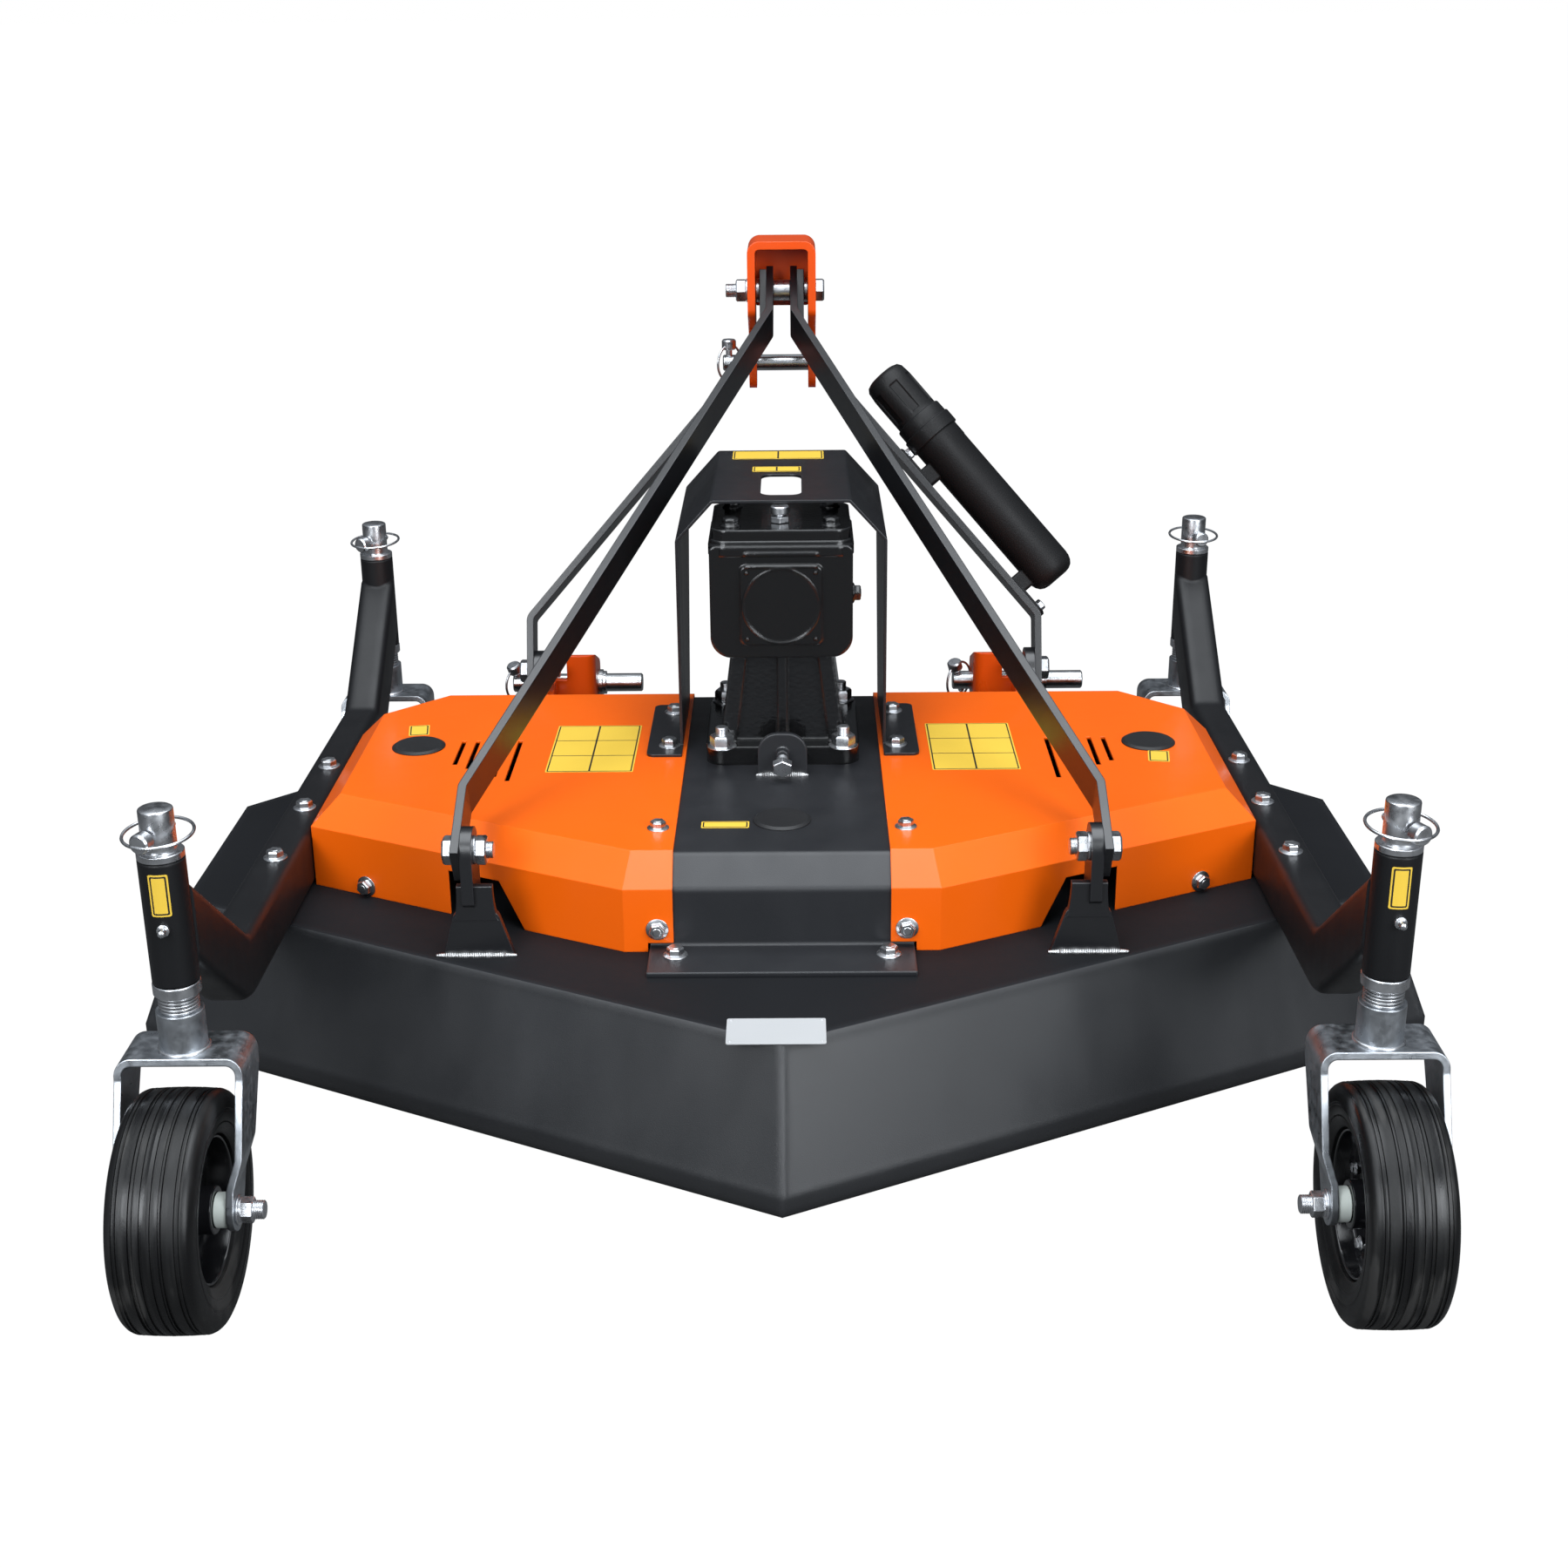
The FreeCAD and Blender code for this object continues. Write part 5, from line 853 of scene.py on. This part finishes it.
# Shaft shield: a hood of bent sheet in satin black over the input shaft, with two blank yellow labels,
# standing on four flanged bolts.
shield_paint = coated("shield_powder_coat", (0.0105, 0.0108, 0.0125), 0.36, peel=0.12, edge=0.0016,
                      cloud=0.1, shine=0.5)
dress(["pto_shield"], shield_paint)
shield_low, shield_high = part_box("pto_shield")
foot_level, on_shield = shield_low.z + 0.003 - hair, shield_high.z + hair
fastened("shield_bolts", flanged_bolt, [((side * 0.1190, y, foot_level), (0, 0, 1)) for side in (-1, 1)
                                        for y in (0.100, 0.208)], "deck_frame")
label("shield_label_wide", Matrix.Translation((-0.004, 0.317, on_shield)), 0.100, 0.040, (2, 1))
label("shield_label_small", Matrix.Translation((-0.005, 0.246, on_shield)), 0.052, 0.024, (2, 1))


# A-frame: flat bars in satin black from the deck's lugs to the top pivot, their bends edged lighter to show
# the cut of the plate and as a painted highlight, with plated bolts through the feet and the heads.
# The lighter edges are strongest here: rubbed paint and a painted highlight
strut_paint = coated("strut_powder_coat", (0.0065, 0.0067, 0.008), 0.32, peel=0.04, edge=0.0014, cloud=0.08,
                     wear_and_highlight=2.5, shine=0.75)
dress([place + "_" + side for place in ("rear_lug", "front_lug", "strut_rear", "strut_front")
       for side in ("left", "right")], strut_paint)

# Foot of each rear lug drawn in with hollow sides up to the neck
foot_half, drawn_in, shoulder_high, lug_middle, lug_sheet = 0.0222, 0.0056, 0.0345, 0.2825, 0.008
bends = [math.radians(90 * k / 8) for k in range(9)]
hollow = [(foot_half - drawn_in * math.sin(a), shoulder_high * (1 - math.cos(a))) for a in bends]
shoulder = hollow + [(-x, y) for x, y in reversed(hollow)]
bm = bmesh.new()
for side in (-1, 1):
    facing = frame_at((side * lug_middle, -0.2075, 0.2260), (0, -1, 0), (0, 0, 1))
    slab(bm, shoulder, -lug_sheet / 2, lug_sheet / 2, facing, ease=0.0006)
placed(bm, "rear_lug_shoulders", "deck_frame", strut_paint)


def cross_bolt(bm, head_x, nut_x, y, z, radius, flats, head, nut, end):
    """Bolt lying across the machine, its head and nut against two faces, thread standing out of the nut."""
    way = 1 if head_x > nut_x else -1
    place = Matrix.Translation((head_x, y, z)) @ Matrix.Rotation(math.radians(90 * way), 4, "Y")
    grip, corner = abs(head_x - nut_x), flats / math.sqrt(3)
    lathe(bm, [(0, 0), (corner, 0), (corner, head * 0.8), (corner * 0.88, head), (corner * 0.6, head),
               (corner * 0.55, head - 0.0008), (0, head - 0.0008)], place, 6)
    lathe(bm, [(radius, -grip), (radius, 0)], place, 28)
    lathe(bm, [(radius, -grip), (flats * 0.56, -grip), (flats * 0.56, -grip - 0.0018),
               (radius, -grip - 0.0018)], place, 32)
    low, high = -grip - 0.0018, -grip - nut
    lathe(bm, [(radius, low), (corner * 0.9, low), (corner, low - 0.001), (corner, high + 0.0014),
               (corner * 0.88, high), (radius * 0.9, high)], place, 6)
    lathe(bm, [(r, high - along) for r, along in thread(radius, -0.001, end, 0.0016)], place, 24)


bolt_radius, bolt_flats, head_high, nut_high = 0.0080, 0.024, 0.010, 0.012
strut_face, bolt_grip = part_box("strut_rear_right")[1].x, 0.019
bm = bmesh.new()
for side in (-1, 1):
    for outer, y, z in ((strut_face, -0.194, 0.290), (strut_face + 0.001, 0.396, 0.272)):
        cross_bolt(bm, side * outer, side * (outer - bolt_grip), y, z, bolt_radius, bolt_flats, head_high,
                   nut_high, 0.006)
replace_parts(placed(bm, "strut_bolts_threaded", "deck_frame", zinc), "strut_bolts")
top_pivot = joint_at["top_bracket_swing"]
bm = bmesh.new()
bracket_face = 0.0403
cross_bolt(bm, bracket_face, -bracket_face, top_pivot[1], top_pivot[2], bolt_radius, bolt_flats,
           head_high, 0.014, 0.012)
heads = Matrix.Translation(top_pivot) @ Matrix.Rotation(math.radians(90), 4, "Y")
for low, high, radius in ((-0.0099, 0.0099, 0.0120), (0.0261, 0.0306, 0.0138), (-0.0306, -0.0261, 0.0138)):
    lathe(bm, [(0.0078, low), (radius - 0.0006, low), (radius, low + 0.0006), (radius, high - 0.0006),
               (radius - 0.0006, high), (0.0078, high)], heads, 36)
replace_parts(placed(bm, "top_pivot_bolt_threaded", "deck_frame", zinc), "top_pivot_bolt")

# Top link bracket: an orange hoop that swings on the top bolt, closed by a web at its front,
# with its plated pin and lynch pin.
link_paint = coated("link_orange", (0.72, 0.072, 0.003), 0.3, peel=0.1, edge=0.0016, coat=0.25, cloud=0.06,
                    wear_and_highlight=1.25)
dress(["top_link_bracket", "hitch_link_left", "hitch_link_right"], link_paint)
pin_zinc = bare_metal("turned_zinc_plate", (0.72, 0.73, 0.74), 0.2, brushed=0.05)
dress(["top_link_pin", "hitch_pin_left", "hitch_pin_right", "hitch_pivot_left", "hitch_pivot_right"],
      pin_zinc)
bm = slab(bmesh.new(), rounded(0.0624, 0.0740, 0.002), 0, 0.0045, frame_at((0, 0.5880, 0.7060), (0, 1, 0)))
placed(bm, "top_link_web", "top_bracket", link_paint)


def pin_end(node, inset):
    """Point on a cross pin's axis, so far in from its left end."""
    low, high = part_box(node)
    return Vector((low.x + inset, (low.y + high.y) / 2, (low.z + high.z) / 2))


bm = bmesh.new()
turned = Matrix.Rotation(math.radians(52), 4, "Z")
lynch_pin(bm, Matrix.Translation(pin_end("top_link_pin", 0.0075)) @ turned, 0.016, 0.0212, 0)
placed(bm, "top_link_lynch_pin", "top_bracket", zinc)

# Lower hitch links: folded orange plates that float on the front lugs. Both pins point to the right
# and are locked at their left ends by lynch pins.
for side, tag in ((-1, "left"), (1, "right")):
    bm = bmesh.new()
    leaning = Matrix.Rotation(math.radians(48), 4, "Z") @ Matrix.Rotation(math.radians(-22), 4, "Y")
    lynch_pin(bm, Matrix.Translation(pin_end("hitch_pin_" + tag, 0.008)) @ leaning, 0.017, 0.0225, 0)
    placed(bm, "hitch_lynch_pin_" + tag, "hitch_" + tag, zinc)
    bm = bmesh.new()
    pivot = joint_at["hitch_float_" + tag]
    near = Matrix.Translation((0, pivot[1], pivot[2])) @ Matrix.Rotation(math.radians(90), 4, "Y")
    for a, b in ((0.2650, 0.2740), (0.2948, 0.3030)):
        low, high = sorted((side * a, side * b))
        lathe(bm, [(0.0078, low), (0.0118, low), (0.0130, low + 0.001), (0.0130, high - 0.001),
                   (0.0118, high), (0.0078, high)], near, 6)
    placed(bm, "hitch_pivot_nuts_" + tag, "deck_frame", zinc)

# Manual tube: matt black plastic canister with a rounded foot, two ears screwed to the right front
# strut and a fluted screw cap.
tube_plastic = coated("tube_plastic", (0.007, 0.007, 0.0075), 0.5, peel=0.3, edge=0.002, cloud=0.1,
                      grit=600.0, shine=0.22)
cap_black = coated("tube_cap_plastic", (0.007, 0.007, 0.0075), 0.46, peel=0.35, edge=0.001, cloud=0.1,
                   grit=600.0, shine=0.25)
lean, normal = Vector((-0.6477, 0.2747, 0.7107)), Vector((0.7619, 0.2335, 0.6042))
base = Vector((0.3243, 0.4335, 0.3692))
canister = frame_at(base, lean, normal)
bm = lathe(bmesh.new(), [
    (0, 0.0004), (0.0130, 0.0004), (0.0185, 0.0014), (0.0232, 0.0042), (0.0264, 0.0085), (0.0283, 0.0138),
    (0.0289, 0.0200), (0.0289, 0.2020), (0.0294, 0.2035), (0.0294, 0.2245), (0, 0.2245)], canister, 72)
ear_length, tube_length = 0.046, 0.32
for share, way in ((0.08, -1), (0.6, 1)):
    foot = base + lean * tube_length * share
    slab(bm, rounded(0.0210, 0.0230, 0.004), -0.0420, -0.0150, frame_at(foot, normal, lean))
    ear_place = frame_at(foot + lean * way * ear_length / 2, normal, lean)
    slab(bm, rounded(0.0236, ear_length, 0.0114), -0.0430, -0.0390, ear_place, ease=0.0006)
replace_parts(placed(bm, "manual_tube_rounded", "deck_frame", tube_plastic), "manual_tube")
bm = lathe(bmesh.new(), [
    (0.0285, -0.004), (0.0312, -0.004), (0.0320, -0.003), (0.0320, 0.0125), (0.0312, 0.0135),
    (0.0300, 0.0140), (0.0298, 0.0270), (0.0290, 0.0285), (0.0272, 0.0292), (0.0270, 0.0300),
    (0.0270, 0.0340), (0.0270, 0.0360), (0.0270, 0.0500), (0.0270, 0.0660), (0.0269, 0.0745),
    (0.0267, 0.0765), (0.0255, 0.0870), (0.0225, 0.0915), (0.0170, 0.0937), (0.0090, 0.0947), (0, 0.0950)],
    None, 120)
for v in bm.verts:
    turn = (math.degrees(math.atan2(v.co.y, v.co.x)) + 12) % 60
    if turn < 24 and 0.0345 < v.co.z < 0.0750:
        v.co.x, v.co.y = v.co.x * 0.93, v.co.y * 0.93
bmesh.ops.transform(bm, matrix=canister @ Matrix.Translation((0, 0, 0.225)), verts=bm.verts)
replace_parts(placed(bm, "manual_tube_cap_fluted", "deck_frame", cap_black),
            "manual_tube_cap")
screws = [(tuple(base + lean * along - normal * 0.0392), tuple(normal)) for along in (-0.0094, 0.227)]
fastened("tube_screws", flanged_bolt, screws, "deck_frame", size=0.8)


# The patterns of the repeated fasteners have done their work and are taken away
for pattern in [o for o in scene.objects if o.name.startswith("pattern_")]:
    bpy.data.objects.remove(pattern)
